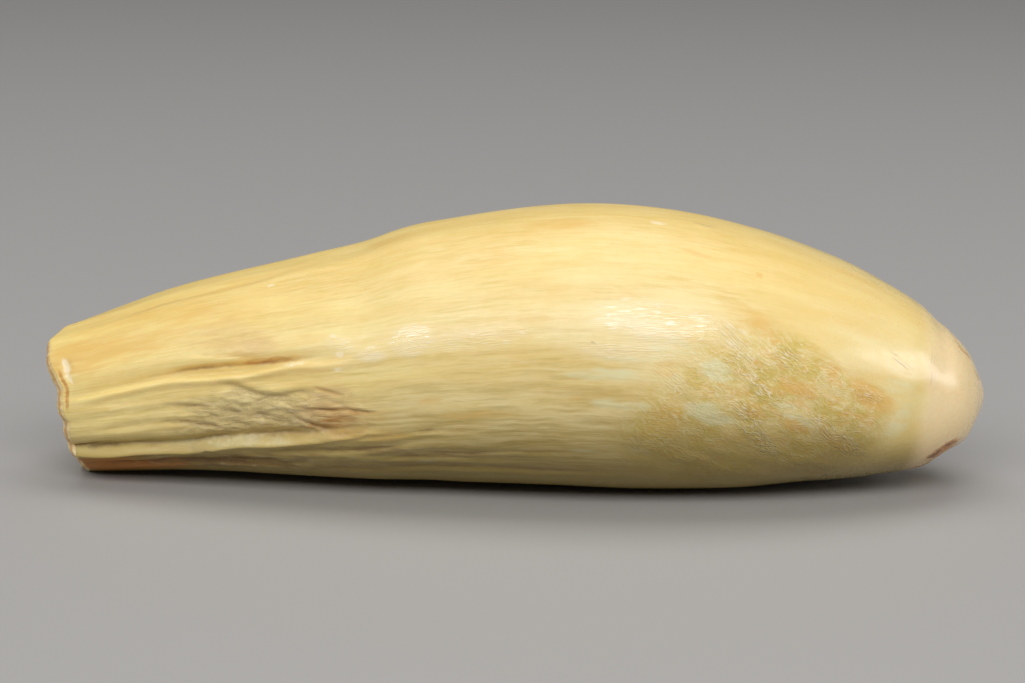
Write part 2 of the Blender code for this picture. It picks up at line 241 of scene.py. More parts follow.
# A spot is an oval mark on the wall: half length along the tooth, half width
# round it, and slant in degrees from lengthwise towards the top at the tip end.
Spot = namedtuple("Spot", "distance angle half_length half_width slant strength")
SPOTS = {
    "amber": (
        (160, 42, 8, 4, 0, 0.8), (150, 40, 9, 3, 0, 0.65), (148, 63, 15, 4.5, 0, 0.4),
        (136, 50, 10, 3.5, 0, 0.4), (105, 80, 5, 2.4, 0, 0.5), (77, 71, 6.5, 2.2, 0, 0.65),
        (86, 50, 6, 3.4, 0, 0.3), (82.5, 10, 4, 1, 0, 0.2), (99.4, -7, 3.2, 0.7, 0, 0.5),
        (164.6, 22, 0.5, 4.5, 0, 0.9), (56, 57, 3, 0.55, -11, 0.9),
        (45.6, 52, 0.75, 0.7, 0, 1), (48.5, 33, 6, 2, -26, 0.42),
        (43, 27.5, 4.5, 2.2, -28, 0.5), (33.5, 19, 4, 2, -28, 0.4), (24, 5, 5.4, 2.3, -24, 1),
        (27.5, -23, 3.6, 1.4, -32, 0.95), (37.5, 4.5, 4.4, 1.7, -14, 0.8),
        (36.4, -14.5, 3.2, 1.3, -30, 0.8), (44.7, -22, 2.4, 1.2, -10, 0.7),
        (58.6, -14, 4, 4, 0, 0.45), (51.9, -42, 4.5, 1.3, -12, 0.7),
        (28.5, -50, 3.4, 1.2, -15, 0.6), (60, 7, 2.6, 2, 0, 0.6), (44, -8, 3.4, 1.6, -30, 0.6),
        (76.7, 35, 3.5, 1.8, 0, 0.3), (76.5, -7, 4.5, 1.1, 0, 0.25), (90, -14, 9, 1, 0, 0.45),
        (29, 75, 6, 2.8, 0, 0.35), (162, -46, 6.5, 2.4, 0, 1), (113, -14, 8, 4, 0, 0.5),
        (133, -36, 8, 1.8, 0, 0.45), (110, -24, 7, 1.6, 0, 0.35), (150, 132, 14, 6, 0, 0.6),
        (96, 162, 16, 3, 0, 0.4), (60, 140, 9, 4, 12, 0.4), (34, -150, 8, 4, -18, 0.5),
        (118, -132, 15, 3.5, 0, 0.5),
    ),
    "rust": (
        (8.2, -42, 3, 2.1, 15, 1), (8.5, -62, 5, 2.2, 0, 0.7), (2.2, 50, 1.4, 0.5, 20, 0.45),
        (5, 66, 2.2, 0.9, 0, 0.5), (160, -53, 9, 4.6, 0, 1), (150, -54, 8, 2.8, 0, 0.6),
        (164.4, 20, 0.4, 5, 0, 0.7), (115, -10, 5, 1.6, 0, 0.36),
        (117.5, -16.5, 5, 1.2, 10, 0.4), (126, 19.5, 6, 0.7, 0, 0.45),
        (164, 170, 3, 4, 0, 0.6),
    ),
    "brown": (
        (155, -50, 9, 1.6, 0, 0.9), (141, -51, 13, 2, 0, 0.55), (121, -50, 11, 1.6, 0, 0.35),
        (9.6, -43, 1.3, 0.75, 20, 0.95), (7.2, -39, 0.9, 0.5, 20, 0.75),
        (122.5, -37, 4, 0.9, 0, 0.45), (111, -32, 6, 0.8, 0, 0.45),
        (72.2, 18, 0.3, 0.25, 0, 1), (71.7, 15, 0.35, 0.3, 0, 1),
        (66.6, 26, 0.3, 0.25, 0, 0.8), (65.3, 23.5, 0.25, 0.2, 0, 0.7),
        (140, 165, 10, 1.6, 0, 0.6), (152, -128, 9, 2.6, 0, 0.6),
    ),
    "grey": (
        (130.5, -9, 12, 4.2, -3, 0.6), (127, -15, 9, 3, 0, 0.3), (140, -19, 7, 2, 0, 0.55),
        (54.6, 79, 2.2, 0.8, 0, 0.5), (52.8, 77, 3, 1.6, 0, 0.3), (140, -34, 5, 1.4, 0, 0.6),
        (121, -17, 4.5, 1.6, 0, 0.6), (134, 176, 10, 3.5, 0, 0.55),
    ),
    "rosy": (
        (135, 36, 9.5, 3.4, -6, 0.55), (128.5, 27, 5, 2, 0, 0.6), (117.5, -11, 7, 4.5, 0, 0.8),
        (116.5, 2, 5, 1.6, 0, 0.6), (13, 27, 1.7, 4.2, 0, 0.6), (96, 44, 12, 6, 0, 0.2),
    ),
    "pale": (
        (51.5, -11, 5.4, 2.2, -18, 0.85), (51.5, 7.5, 3.4, 2, -14, 0.7),
        (37.5, -8, 5, 1.4, -30, 0.6), (18, -9, 2.2, 5, -12, 0.55), (66, 9.5, 7, 0.8, 0, 0.35),
        (70, 3, 7, 1.3, 0, 0.6), (66, -9, 7, 1.3, 0, 0.45), (60, 15, 9, 2.6, 0, 0.4),
        (19, 19, 4, 4, -20, 0.4), (73.7, -32, 4, 0.5, 0, 0.8), (102.5, -41, 2.4, 1, 0, 0.8),
        (62.7, -30, 2.6, 1, 0, 0.6), (134, -27, 15, 0.8, 3.5, 0.5), (46, 158, 7, 3.5, 0, 0.6),
    ),
    # Fresh ivory: chips of the rim, and painted highlights on lit ledges and small glints
    "fresh": (
        (162.4, 38, 0.75, 1.5, 0, 1), (162.9, 30, 0.6, 2, 0, 0.8), (166, 40, 0.6, 1.2, 0, 0.8),
        (122, 16.5, 2.6, 0.5, 0, 0.6), (115, 28, 0.7, 0.4, 0, 0.8),
        (108, 20, 1.3, 0.5, 0, 0.6), (114, 19, 0.8, 0.7, 0, 0.8),
        (114.5, 12, 0.9, 0.5, 0, 0.7), (126.6, 65, 1, 0.5, 0, 0.6),
        (62.2, 74, 1.8, 0.6, 0, 0.8), (134, -27, 14, 0.7, 3.5, 0.28),
    ),
    "print": (
        (46, -12, 17, 16, -14, 1), (29, -18, 9, 11, -20, 1), (36, 12, 12, 4.5, -28, 0.9),
        (60, -23, 9, 8, 0, 0.7), (46, -42, 19, 7, 0, 0.8), (45, 152, 12, 7, 0, 0.7),
    ),
    "ridged": (
        (45, -9.5, 3.6, 1.5, -34, 0.9), (43, -18.5, 3.6, 1.4, -30, 0.9),
        (40, -26.5, 3.2, 1.5, -34, 0.8), (26.5, -22.5, 5.5, 1.7, -30, 0.8),
        (31, -12.5, 3, 1.1, -30, 0.7), (43.5, 2, 4, 1.5, -34, 0.7),
        (46.5, 12, 4.2, 2.4, -20, 0.7), (40, 17, 3.6, 1.8, -24, 0.7),
        (25, 6.5, 3, 1, -10, 0.6), (52.7, -36, 4, 2, -24, 0.7), (58, 2, 3, 1.6, -15, 0.5),
        (36, -36, 6, 2.6, -15, 0.4), (61, -26, 5, 2.4, -10, 0.5), (64, -38, 5, 2, -8, 0.5),
        (47, -45, 9, 2.4, -4, 0.6), (31, -42, 6, 2, -10, 0.5), (45, 152, 9, 4, 30, 0.7),
    ),
    "wrinkle": (
        (130, -9, 14, 5, 0, 0.9), (117, -12, 8, 5.5, 0, 0.6), (133, -46, 24, 4, 0, 1),
        (105, -36, 12, 3.5, 0, 0.4), (132, 30, 9, 2.4, 0, 0.25), (138, 170, 18, 7, 0, 0.8),
    ),
    "crackle": (
        (20, 26, 3.6, 1.5, -32, 1),
    ),
    "scored": (
        (13.4, 28, 1, 4, 0, 1),
    ),
    "glint": (
        (61.5, 25, 10.5, 4, -3, 1.2), (66, 12, 9, 1.8, -3, 0.7), (101.4, 20, 3.4, 2.8, 0, 1.3),
        (90, 18, 10, 2.2, 0, 0.6), (114, 24, 2.8, 1.4, -20, 1), (108.5, 17, 2.8, 1.3, -10, 1),
    ),
    "slash": (
        (49.5, 22.5, 4, 2.2, -38, 1),
    ),
    "wedge": (
        (18, 27, 9.5, 4, 0, 1),
    ),
}
STAINS = {name: [Spot(*row) for row in rows] for name, rows in SPOTS.items()}
SPOT_CORE = 0.45         # share of a spot that is full before its edge fades
SPOT_EDGE = 1.35

# Tones that go round the whole tooth: the banded flanks by their middle and half
# width in degrees, the warm crest and the darker underside (partly a dull stain and
# partly painted shade) by the height of the direction, and the polish by the distance
# over which it ends
BAND_FRONT = (-32.0, 34.0)
BAND_BACK = (166.0, 30.0)
BAND_BEGINS = (50.0, 72.0)
BAND_FADES = (104.0, 128.0)
BAND_FADE = 0.75
CREST = (0.5, 1.0)
GRIME_AND_SHADE = (0.12, 0.82)
PRINT_GRIME_AND_SHADE = (0.0, 0.55)
PRINT_GRIME_AND_SHADE_SHARE = 0.85
PRINT_ROUGH = 0.6
POLISH_ENDS = (24.0, 60.0)
RIM_EDGE = (3.2, 1.9)    # where the wall turns into the rim's edge, short of its end

# Blunt dentine cap at the tip and the yellower ring behind it
CAP_EDGE = 13.6
CAP_TILT = 1.0
CAP_SOFT = 1.5           # half width of its edge, which widens by CAP_FADE at the top
CAP_FADE = 5.0
CAP_FADE_ANGLES = (15.0, 80.0)
RING_YELLOW = (15.9, 1.7)

Section = namedtuple("Section", "distance centre to_tip to_front up depth height")


def smooth_step(low, high, value):
    share = min(1.0, max(0.0, (value - low) / (high - low)))
    return share * share * (3.0 - 2.0 * share)


def bell(offset, half_width):
    return math.exp(-(offset / half_width) ** 2)


def between(pair, share):
    return pair[0] + (pair[1] - pair[0]) * share


def turned(angle, middle):
    """The angle measured from another one, between -180 and 180."""
    return (angle - middle + 180.0) % 360.0 - 180.0


def hermite(x0, x1, y0, y1, slope0, slope1, x):
    span = x1 - x0
    t = (x - x0) / span
    rise = t * t * (3.0 - 2.0 * t)
    start = t * (1.0 - t) ** 2 * span * slope0
    end = t * t * (t - 1.0) * span * slope1
    return y0 + (y1 - y0) * rise + start + end


def smooth_curve(xs, ys, x):
    """A curve through every point, with slopes from the points on either side."""
    last = len(xs) - 1
    i = 0
    while i < last - 1 and x > xs[i + 1]:
        i += 1
    slopes = []
    for k in (i, i + 1):
        before = max(k - 1, 0)
        after = min(k + 1, last)
        slopes.append((ys[after] - ys[before]) / (xs[after] - xs[before]))
    return hermite(xs[i], xs[i + 1], ys[i], ys[i + 1], slopes[0], slopes[1], x)


# The curves run over the root of the distance, which makes the tip round. The
# size turns its sign past the tip and the middle line doesn't.
ROOTS = [math.sqrt(row.distance) for row in OUTLINE]
HALF_HEIGHTS = [(row.top - row.bottom) / 2 for row in OUTLINE]
MIDDLES = [(row.top + row.bottom) / 2 for row in OUTLINE]
MIRRORED_ROOTS = [-ROOTS[2], -ROOTS[1]] + ROOTS
MIRRORED_HEIGHTS = [-HALF_HEIGHTS[2], -HALF_HEIGHTS[1]] + HALF_HEIGHTS
MIRRORED_MIDDLES = [MIDDLES[2], MIDDLES[1]] + MIDDLES
LIP_RUNS = [row.run for row in LIP]
LIP_SHORTS = [row.short for row in LIP]
LIP_INSETS = [row.inset for row in LIP]


def half_height(distance):
    return smooth_curve(MIRRORED_ROOTS, MIRRORED_HEIGHTS, math.sqrt(max(distance, 0.0)))


def half_depth(distance):
    """Half the front-to-back size, which swells more evenly than the height."""
    reach = min(DEPTH_CALM, distance / 3)
    both = half_height(distance - reach) + half_height(distance + reach)
    return DEPTH_SHARE * both / 2


def set_back(distance):
    if distance > STRAIGHT_PART:
        share = (distance - STRAIGHT_PART) / (LENGTH - STRAIGHT_PART)
        return ROOT_SET_BACK * share ** 2
    return TIP_SET_BACK * (1.0 - distance / STRAIGHT_PART) ** 2


def spine(distance):
    """A point of the tooth's middle line."""
    middle = smooth_curve(MIRRORED_ROOTS, MIRRORED_MIDDLES, math.sqrt(max(distance, 0.0)))
    return Vector((LENGTH / 2 - distance, set_back(distance), middle))


def section_at(distance):
    """The cross-section at a distance: its centre, directions and half sizes."""
    nearer = spine(max(distance - SPINE_REACH, 0.0))
    to_tip = (nearer - spine(distance + SPINE_REACH)).normalized()
    to_front = to_tip.cross(Vector((0.0, 0.0, 1.0))).normalized()
    up = to_front.cross(to_tip)
    return Section(
        distance, spine(distance), to_tip, to_front, up, half_depth(distance), half_height(distance)
    )


def section_point(section, angle, share=1.0, inset=0.0, swell=0.0, push=0.0):
    """A point of the cross-section: share scales it, inset moves it in, push to the tip."""
    turn = math.radians(angle)
    across = (section.depth - inset) * share + swell
    tall = (section.height - inset) * share + swell
    offset = section.to_front * across * math.cos(turn) + section.up * tall * math.sin(turn)
    return section.centre + offset + section.to_tip * push


def groove_place(groove, distance, angle, radius):
    """How strong a groove is at a distance, and how far across it a point lies."""
    fade = min(GROOVE_FADE, SHORT_FADE * (groove.end - groove.start))
    if not groove.start - fade < distance < groove.end + fade:
        return 0.0, 0.0
    share = (distance - groove.start) / (groove.end - groove.start)
    middle = between((groove.start_angle, groove.end_angle), share)
    middle += groove.bend * math.sin(math.pi * min(1.0, max(0.0, share)))
    middle += GROOVE_WANDER * noise.noise(Vector((distance / GROOVE_BEND, groove.start, GROOVE_SEED)))
    across = math.radians(turned(angle, middle)) * radius / groove.half_width
    run_out = smooth_step(groove.start - fade, groove.start + fade, distance)
    run_out *= 1.0 - smooth_step(groove.end - fade, groove.end + fade, distance)
    patch = noise.noise(Vector((distance / GROOVE_PATCH, GROOVE_SEED, groove.start)))
    return run_out * (1.0 + GROOVE_UNEVEN * patch), across


def groove_height(groove, strength, across):
    """Outward shift that one groove and the ledge along its steep wall give."""
    aside = across * groove.side
    floor = groove.depth * bell(aside, 1.0 if aside > 0.0 else STEEP_WALL)
    ridge = groove.ledge * bell(aside + RIDGE_OFFSET, RIDGE_WIDTH)
    return strength * (ridge - floor)


def hollow_height(hollow, distance, angle, radius):
    """Outward shift that one hollow gives, which is never above zero."""
    along = (distance - hollow.distance) / hollow.half_length
    across = math.radians(turned(angle, hollow.angle)) * radius / hollow.half_width
    return -hollow.depth * math.exp(-along * along - across * across)


def facing(angle):
    """A direction round the tooth, to lay lengthwise noise out on."""
    turn = math.radians(angle)
    return Vector((0.0, math.cos(turn), math.sin(turn)))


def crumbly(place):
    """Noise with a second layer of half the size and half the height."""
    return noise.noise(place) + noise.noise(place * 2) / 2


def main_relief(distance, angle):
    """Long swells of the whole surface and lengthwise flutes of the root."""
    around = facing(angle)
    calm = smooth_step(0.0, TIP_CALM, distance)
    wave = noise.noise(Vector((distance / WAVE_LENGTH, 0.0, WAVE_SEED)) + around * WAVES_ROUND)
    flute = noise.noise(Vector((distance / FLUTE_LENGTH, FLUTE_SEED, 0.0)) + around * FLUTES_ROUND)
    height = calm * WAVE_HEIGHT * wave
    return height + FLUTE_HEIGHT * flute * smooth_step(FLUTE_START, FLUTE_FULL, distance)


def strand_relief(distance, angle):
    """Fine lengthwise strands and threads, which grow stronger towards the root."""
    around = facing(angle)
    strand = noise.noise(Vector((distance / STRAND_LENGTH, STRAND_SEED, 0.0)) + around * STRANDS_ROUND)
    thread = noise.noise(Vector((distance / THREAD_LENGTH, THREAD_SEED, 0.0)) + around * THREADS_ROUND)
    shown = smooth_step(STRANDS_BEGIN, STRANDS_FULL, distance)
    root = smooth_step(FLUTE_START, FLUTE_FULL, distance)
    return shown * (between(STRAND_HEIGHT, root) * strand + between(THREAD_HEIGHT, root) * thread)


def worn_relief(place, marks):
    """Crumbs of the worn hollow, wrinkles of the root and ridges of the rough crown."""
    height = 0.0
    if marks["grey"] > 0.0:
        height += marks["grey"] * CRUMB_HEIGHT * crumbly(place / CRUMB_SIZE)
    if marks["wrinkle"] > 0.0:
        bent = place + noise.noise_vector(place / WRINKLE_BEND) * WRINKLE_WANDER
        folded = Vector((bent.x / WRINKLE_LENGTH, bent.y / WRINKLE_WIDTH, bent.z / WRINKLE_WIDTH))
        folds = crumbly(folded)
        height += marks["wrinkle"] * WRINKLE_HEIGHT * folds
        marks["fold"] = marks["wrinkle"] * smooth_step(0.0, FOLD_DEEP, -folds)
    if marks["print"] > 0.0:
        slant = math.radians(PRINT_SLANT)
        along = place.x * math.cos(slant) + place.z * math.sin(slant)
        across = place.z * math.cos(slant) - place.x * math.sin(slant)
        ridged = Vector((along / PRINT_LENGTH, place.y / PRINT_LENGTH, across / PRINT_WIDTH))
        height += marks["print"] * PRINT_HEIGHT * noise.noise(ridged)
        height += marks["print"] * LUMP_HEIGHT * noise.noise(place / LUMP_SIZE)
    return height


def rim_reach(angle):
    """How far the broken rim stands out past its mean plane at an angle."""
    turn = math.radians(angle)
    around = Vector((math.cos(turn), math.sin(turn), RIM_SEED))
    rough = noise.noise(around * RIM_WAVES) + noise.noise(around * RIM_FINE_WAVES) / 2
    bites = sum(bite.reach * bell(turned(angle, bite.angle), bite.half_width) for bite in BITES)
    return bites + RIM_ROUGHNESS * rough


def rim_chips(angle):
    """Small chips out of the outer edge of the rim."""
    turn = math.radians(angle)
    around = Vector((math.cos(turn), math.sin(turn), RIM_CHIP_SEED))
    return RIM_CHIP_DEPTH * (noise.noise(around * RIM_CHIP_WAVES) - 1.0)


def spot_share(spot, distance, angle, radius):
    """How strongly a spot marks a point of the wall."""
    along = spot.distance - distance
    across = math.radians(turned(angle, spot.angle)) * radius
    slant = math.radians(spot.slant)
    u = (along * math.cos(slant) + across * math.sin(slant)) / spot.half_length
    v = (across * math.cos(slant) - along * math.sin(slant)) / spot.half_width
    return spot.strength * (1.0 - smooth_step(SPOT_CORE, SPOT_EDGE, math.hypot(u, v)))


def near_spots(distance):
    """The spots of each stain that reach a distance."""
    found = {}
    for name, spots in STAINS.items():
        found[name] = [
            spot
            for spot in spots
            if abs(spot.distance - distance) < SPOT_EDGE * (spot.half_length + spot.half_width)
        ]
    return found


def joined(shares):
    """Several part-covers laid over each other."""
    left = 1.0
    for share in shares:
        left *= 1.0 - min(1.0, max(0.0, share))
    return 1.0 - left


FEATURES = (
    "cap", "ring", "edge", "root", "banded", "crest", "grime", "depth", "rough", "polish", "fold",
    "seam", "line",
)
MASKS = tuple(STAINS) + FEATURES


class Surface:
    """Collects the points of the fine surface, their masks and their faces."""

    def __init__(self):
        self.points = []
        self.grain = []
        self.skin = []
        self.masks = {name: [] for name in MASKS}
        self.faces = []
        self.finishes = []

    def add(self, point, distance, angle, radius, marks):
        turn = math.radians(angle)
        self.points.append(point)
        self.grain += [distance, GRAIN_RADIUS * math.cos(turn), GRAIN_RADIUS * math.sin(turn)]
        self.skin += [distance, math.radians(turned(angle, 0.0)) * radius, 0.0]
        for name in MASKS:
            self.masks[name].append(marks.get(name, NO_LINE if name == "seam" else 0.0))

    def close(self, first, second, finish):
        """Joins two neighbouring rings, given by their first points, with quads."""
        for side in range(SIDES):
            after = (side + 1) % SIDES
            self.faces.append((first + side, first + after, second + after, second + side))
            self.finishes.append(finish)

    def cap(self, middle, ring, finish, outward):
        """Joins a single point with the ring round it."""
        for side in range(SIDES):
            after = (side + 1) % SIDES
            pair = (ring + side, ring + after)
            self.faces.append((middle,) + (pair if outward else pair[::-1]))
            self.finishes.append(finish)


def wall_marks(distance, angle, radius, spots, grooves):
    """The masks of one point of the outer wall."""
    marks = {
        name: joined(spot_share(spot, distance, angle, radius) for spot in group)
        for name, group in spots.items()
    }
    marks["seam"] = NO_LINE
    marks["line"] = 0.0
    for groove, strength, across in grooves:
        dirt = strength * bell(across * groove.side - DIRT_OFFSET, DIRT_REACH)
        for name in ("amber", "brown", "grey"):
            marks[name] = joined((marks[name], dirt * getattr(groove, name)))
        seam = across * groove.half_width
        line = strength * groove.line * bell(seam, LINE_REACH)
        if line > marks["line"]:
            marks["seam"] = seam
            marks["line"] = line
    rise = math.sin(math.radians(angle))
    edge = CAP_EDGE + CAP_TILT * rise
    soft = CAP_SOFT + CAP_FADE * smooth_step(*CAP_FADE_ANGLES, angle)
    marks["cap"] = 1.0 - smooth_step(edge - soft, edge + soft, distance)
    marks["ring"] = bell(distance - RING_YELLOW[0], RING_YELLOW[1])
    marks["root"] = smooth_step(FLUTE_START, LENGTH, distance)
    marks["edge"] = smooth_step(LENGTH - RIM_EDGE[0], LENGTH - RIM_EDGE[1], distance)
    front_band = bell(turned(angle, BAND_FRONT[0]), BAND_FRONT[1])
    back_band = bell(turned(angle, BAND_BACK[0]), BAND_BACK[1])
    marks["banded"] = max(front_band, back_band) * smooth_step(*BAND_BEGINS, distance)
    marks["banded"] *= 1.0 - BAND_FADE * smooth_step(*BAND_FADES, distance)
    marks["crest"] = smooth_step(*CREST, rise)
    # Darker underside, strongest under the rippled patch: partly a dull stain and partly painted shade
    trodden = PRINT_GRIME_AND_SHADE_SHARE * marks["print"] * smooth_step(*PRINT_GRIME_AND_SHADE, -rise)
    marks["grime"] = joined((smooth_step(*GRIME_AND_SHADE, -rise), trodden))
    marks["rough"] = joined((marks["grey"], PRINT_ROUGH * marks["print"]))
    marks["polish"] = 1.0 - smooth_step(*POLISH_ENDS, distance)
    marks["fold"] = 0.0
    return marks


def wall_ring(surface, distance, angles):
    """One ring of points of the outer wall."""
    section = section_at(distance)
    radius = (section.height + section.depth) / 2
    spots = near_spots(distance)
    pull = smooth_step(LENGTH - RIM_REACH, LENGTH, distance)
    chipped = smooth_step(LENGTH - RIM_CHIPPED, LENGTH - WALL_END_SHORT, distance)
    for angle in angles:
        grooves = []
        height = main_relief(distance, angle)
        for groove in GROOVES:
            strength, across = groove_place(groove, distance, angle, section.height)
            if strength > 0.0:
                grooves.append((groove, strength, across))
                height += groove_height(groove, strength, across)
        height += sum(hollow_height(h, distance, angle, section.height) for h in HOLLOWS)
        marks = wall_marks(distance, angle, section.height, spots, grooves)
        smooth_place = section_point(section, angle)
        height += strand_relief(distance, angle)
        height += worn_relief(smooth_place, marks)
        push = -pull * rim_reach(angle) - chipped * rim_chips(angle)
        point = section_point(section, angle, swell=height, push=push)
        surface.add(point, distance, angle, radius, marks)


def lip_ring(surface, run, angles):
    """One ring of points of the broken rim, from the outer wall at 0 to the cavity at 1."""
    section = section_at(LENGTH)
    short = smooth_curve(LIP_RUNS, LIP_SHORTS, run)
    inset = smooth_curve(LIP_RUNS, LIP_INSETS, run)
    inward = inset / RIM_LIP
    chip_share = 1.0 - smooth_step(0.0, LIP_CHIPPED, run)
    for angle in angles:
        swell = (main_relief(LENGTH, angle) + strand_relief(LENGTH, angle)) * (1.0 - inward)
        for groove in GROOVES:
            strength, across = groove_place(groove, LENGTH, angle, section.height)
            if strength > 0.0:
                swell += groove_height(groove, strength, across) * (1.0 - inward)
        for hollow in HOLLOWS:
            swell += hollow_height(hollow, LENGTH, angle, section.height) * (1.0 - inward)
        push = short - rim_reach(angle) * (1.0 - LIP_EVEN * inward)
        push -= rim_chips(angle) * chip_share
        place = section_point(section, angle, inset=inset, push=push)
        push += LIP_FRACTURE * crumbly(place / LIP_CRUMB) * min(1.0, run / LIP_SMOOTH)
        point = section_point(section, angle, inset=inset, swell=swell, push=push)
        marks = {"edge": 1.0 - run, "root": 1.0, "depth": 0.0, "rough": 1.0}
        surface.add(point, LENGTH + inset, angle, section.height - inset, marks)


def pulp_ring(surface, share, angles):
    """One ring of points of the cavity, from its mouth at 0 to its end at 1."""
    section = section_at(LENGTH - PULP_DEPTH * share)
    mouth = (1.0 - share) ** PULP_TAPER
    rim_height = half_height(LENGTH)
    narrowing = (rim_height - RIM_LIP) / section.height * mouth
    fade = 1.0 - smooth_step(0.0, PULP_EVEN, share)
    growth = math.cos(math.tau * PULP_DEPTH * share / PULP_RING_SPACING)
    for angle in angles:
        push = LIP[-1].short - rim_reach(angle) * (1.0 - LIP_EVEN) * fade
        place = section_point(section, angle, share=narrowing, push=push)
        swell = PULP_RING_HEIGHT * growth + PULP_ROUGH * noise.noise(place / LUMP_SIZE)
        swell *= min(1.0, mouth / PULP_RELIEF_ENDS)
        point = section_point(section, angle, share=narrowing, swell=swell, push=push)
        marks = {"root": 1.0, "depth": share, "rough": 1.0}
        surface.add(point, LENGTH + RIM_LIP + PULP_DEPTH * share, angle, section.height, marks)


def wall_distances():
    """Distances of the outer rings from the tip, evenly spaced but closer on the root."""
    last = LENGTH - WALL_END_SHORT
    distances = [last * (i / SPACING_STEPS) ** 2 for i in range(SPACING_STEPS + 1)]
    heights = [half_height(distance) for distance in distances]
    run = [0.0]
    for i in range(SPACING_STEPS):
        step = math.hypot(distances[i + 1] - distances[i], heights[i + 1] - heights[i])
        step *= between((1.0, ROOT_CROWDING), smooth_step(*ROOT_CROWDED, distances[i]))
        run.append(run[-1] + step)
    spaced = []
    i = 0
    for ring in range(1, OUTER_RINGS + 1):
        wanted = run[-1] * ring / OUTER_RINGS
        while i < SPACING_STEPS and run[i] < wanted:
            i += 1
        spaced.append(distances[i])
    return spaced


def crowded(angle):
    """Moves the columns of points closer together round the furrowed lower front."""
    offset = math.radians(turned(angle, CROWDED_ANGLE))
    return CROWDED_ANGLE + math.degrees(offset - FRONT_CROWDING * math.sin(offset))


OUTER, RIM, PULP = range(3)


def tooth_surface():
    """The whole fine surface, from the tip over the rim to the end of the cavity."""
    noise.seed_set(WRINKLE_SEED)
    angles = [crowded(360.0 * side / SIDES) for side in range(SIDES)]
    surface = Surface()
    surface.add(spine(0.0), 0.0, 0.0, 0.0, {"cap": 1.0})
    rings = []
    for distance in wall_distances():
        rings.append((len(surface.points), OUTER))
        wall_ring(surface, distance, angles)
    for step in range(1, LIP_STEPS + 1):
        rings.append((len(surface.points), RIM))
        lip_ring(surface, step / LIP_STEPS, angles)
    for step in range(1, PULP_STEPS):
        rings.append((len(surface.points), PULP))
        pulp_ring(surface, step / PULP_STEPS, angles)
    surface.cap(0, rings[0][0], OUTER, outward=False)
    for (first, _), (second, finish) in zip(rings, rings[1:]):
        surface.close(first, second, finish)
    end = section_point(section_at(LENGTH - PULP_DEPTH), 0.0, share=0.0, push=LIP[-1].short)
    marks = {"root": 1.0, "depth": 1.0, "rough": 1.0}
    surface.add(end, LENGTH + RIM_LIP + PULP_DEPTH, 0.0, 0.0, marks)
    surface.cap(len(surface.points) - 1, rings[-1][0], PULP, outward=True)
    return surface


def fitted(points, box):
    """The points with the rest flats taken off, brought into a box given in metres."""
    flat = [Vector((p.x, p.y, max(0.0, p.z - REST_SINK))) for p in points]
    low = [min(p[axis] for p in flat) for axis in range(3)]
    high = [max(p[axis] for p in flat) for axis in range(3)]
    scale = [(box[1][axis] - box[0][axis]) / (high[axis] - low[axis]) for axis in range(3)]
    placed = []
    for p in flat:
        placed.append([box[0][axis] + (p[axis] - low[axis]) * scale[axis] for axis in range(3)])
    return placed


def tooth_mesh(box):
    surface = tooth_surface()
    mesh = bpy.data.meshes.new("tooth_surface")
    mesh.from_pydata(fitted(surface.points, box), [], surface.faces)
    mesh.polygons.foreach_set("material_index", surface.finishes)
    for name, values in (("grain", surface.grain), ("skin", surface.skin)):
        mesh.attributes.new(name, "FLOAT_VECTOR", "POINT").data.foreach_set("vector", values)
    for name, values in surface.masks.items():
        mesh.attributes.new(name, "FLOAT", "POINT").data.foreach_set("value", values)
    mesh.validate()
    mesh.shade_smooth()
    return mesh


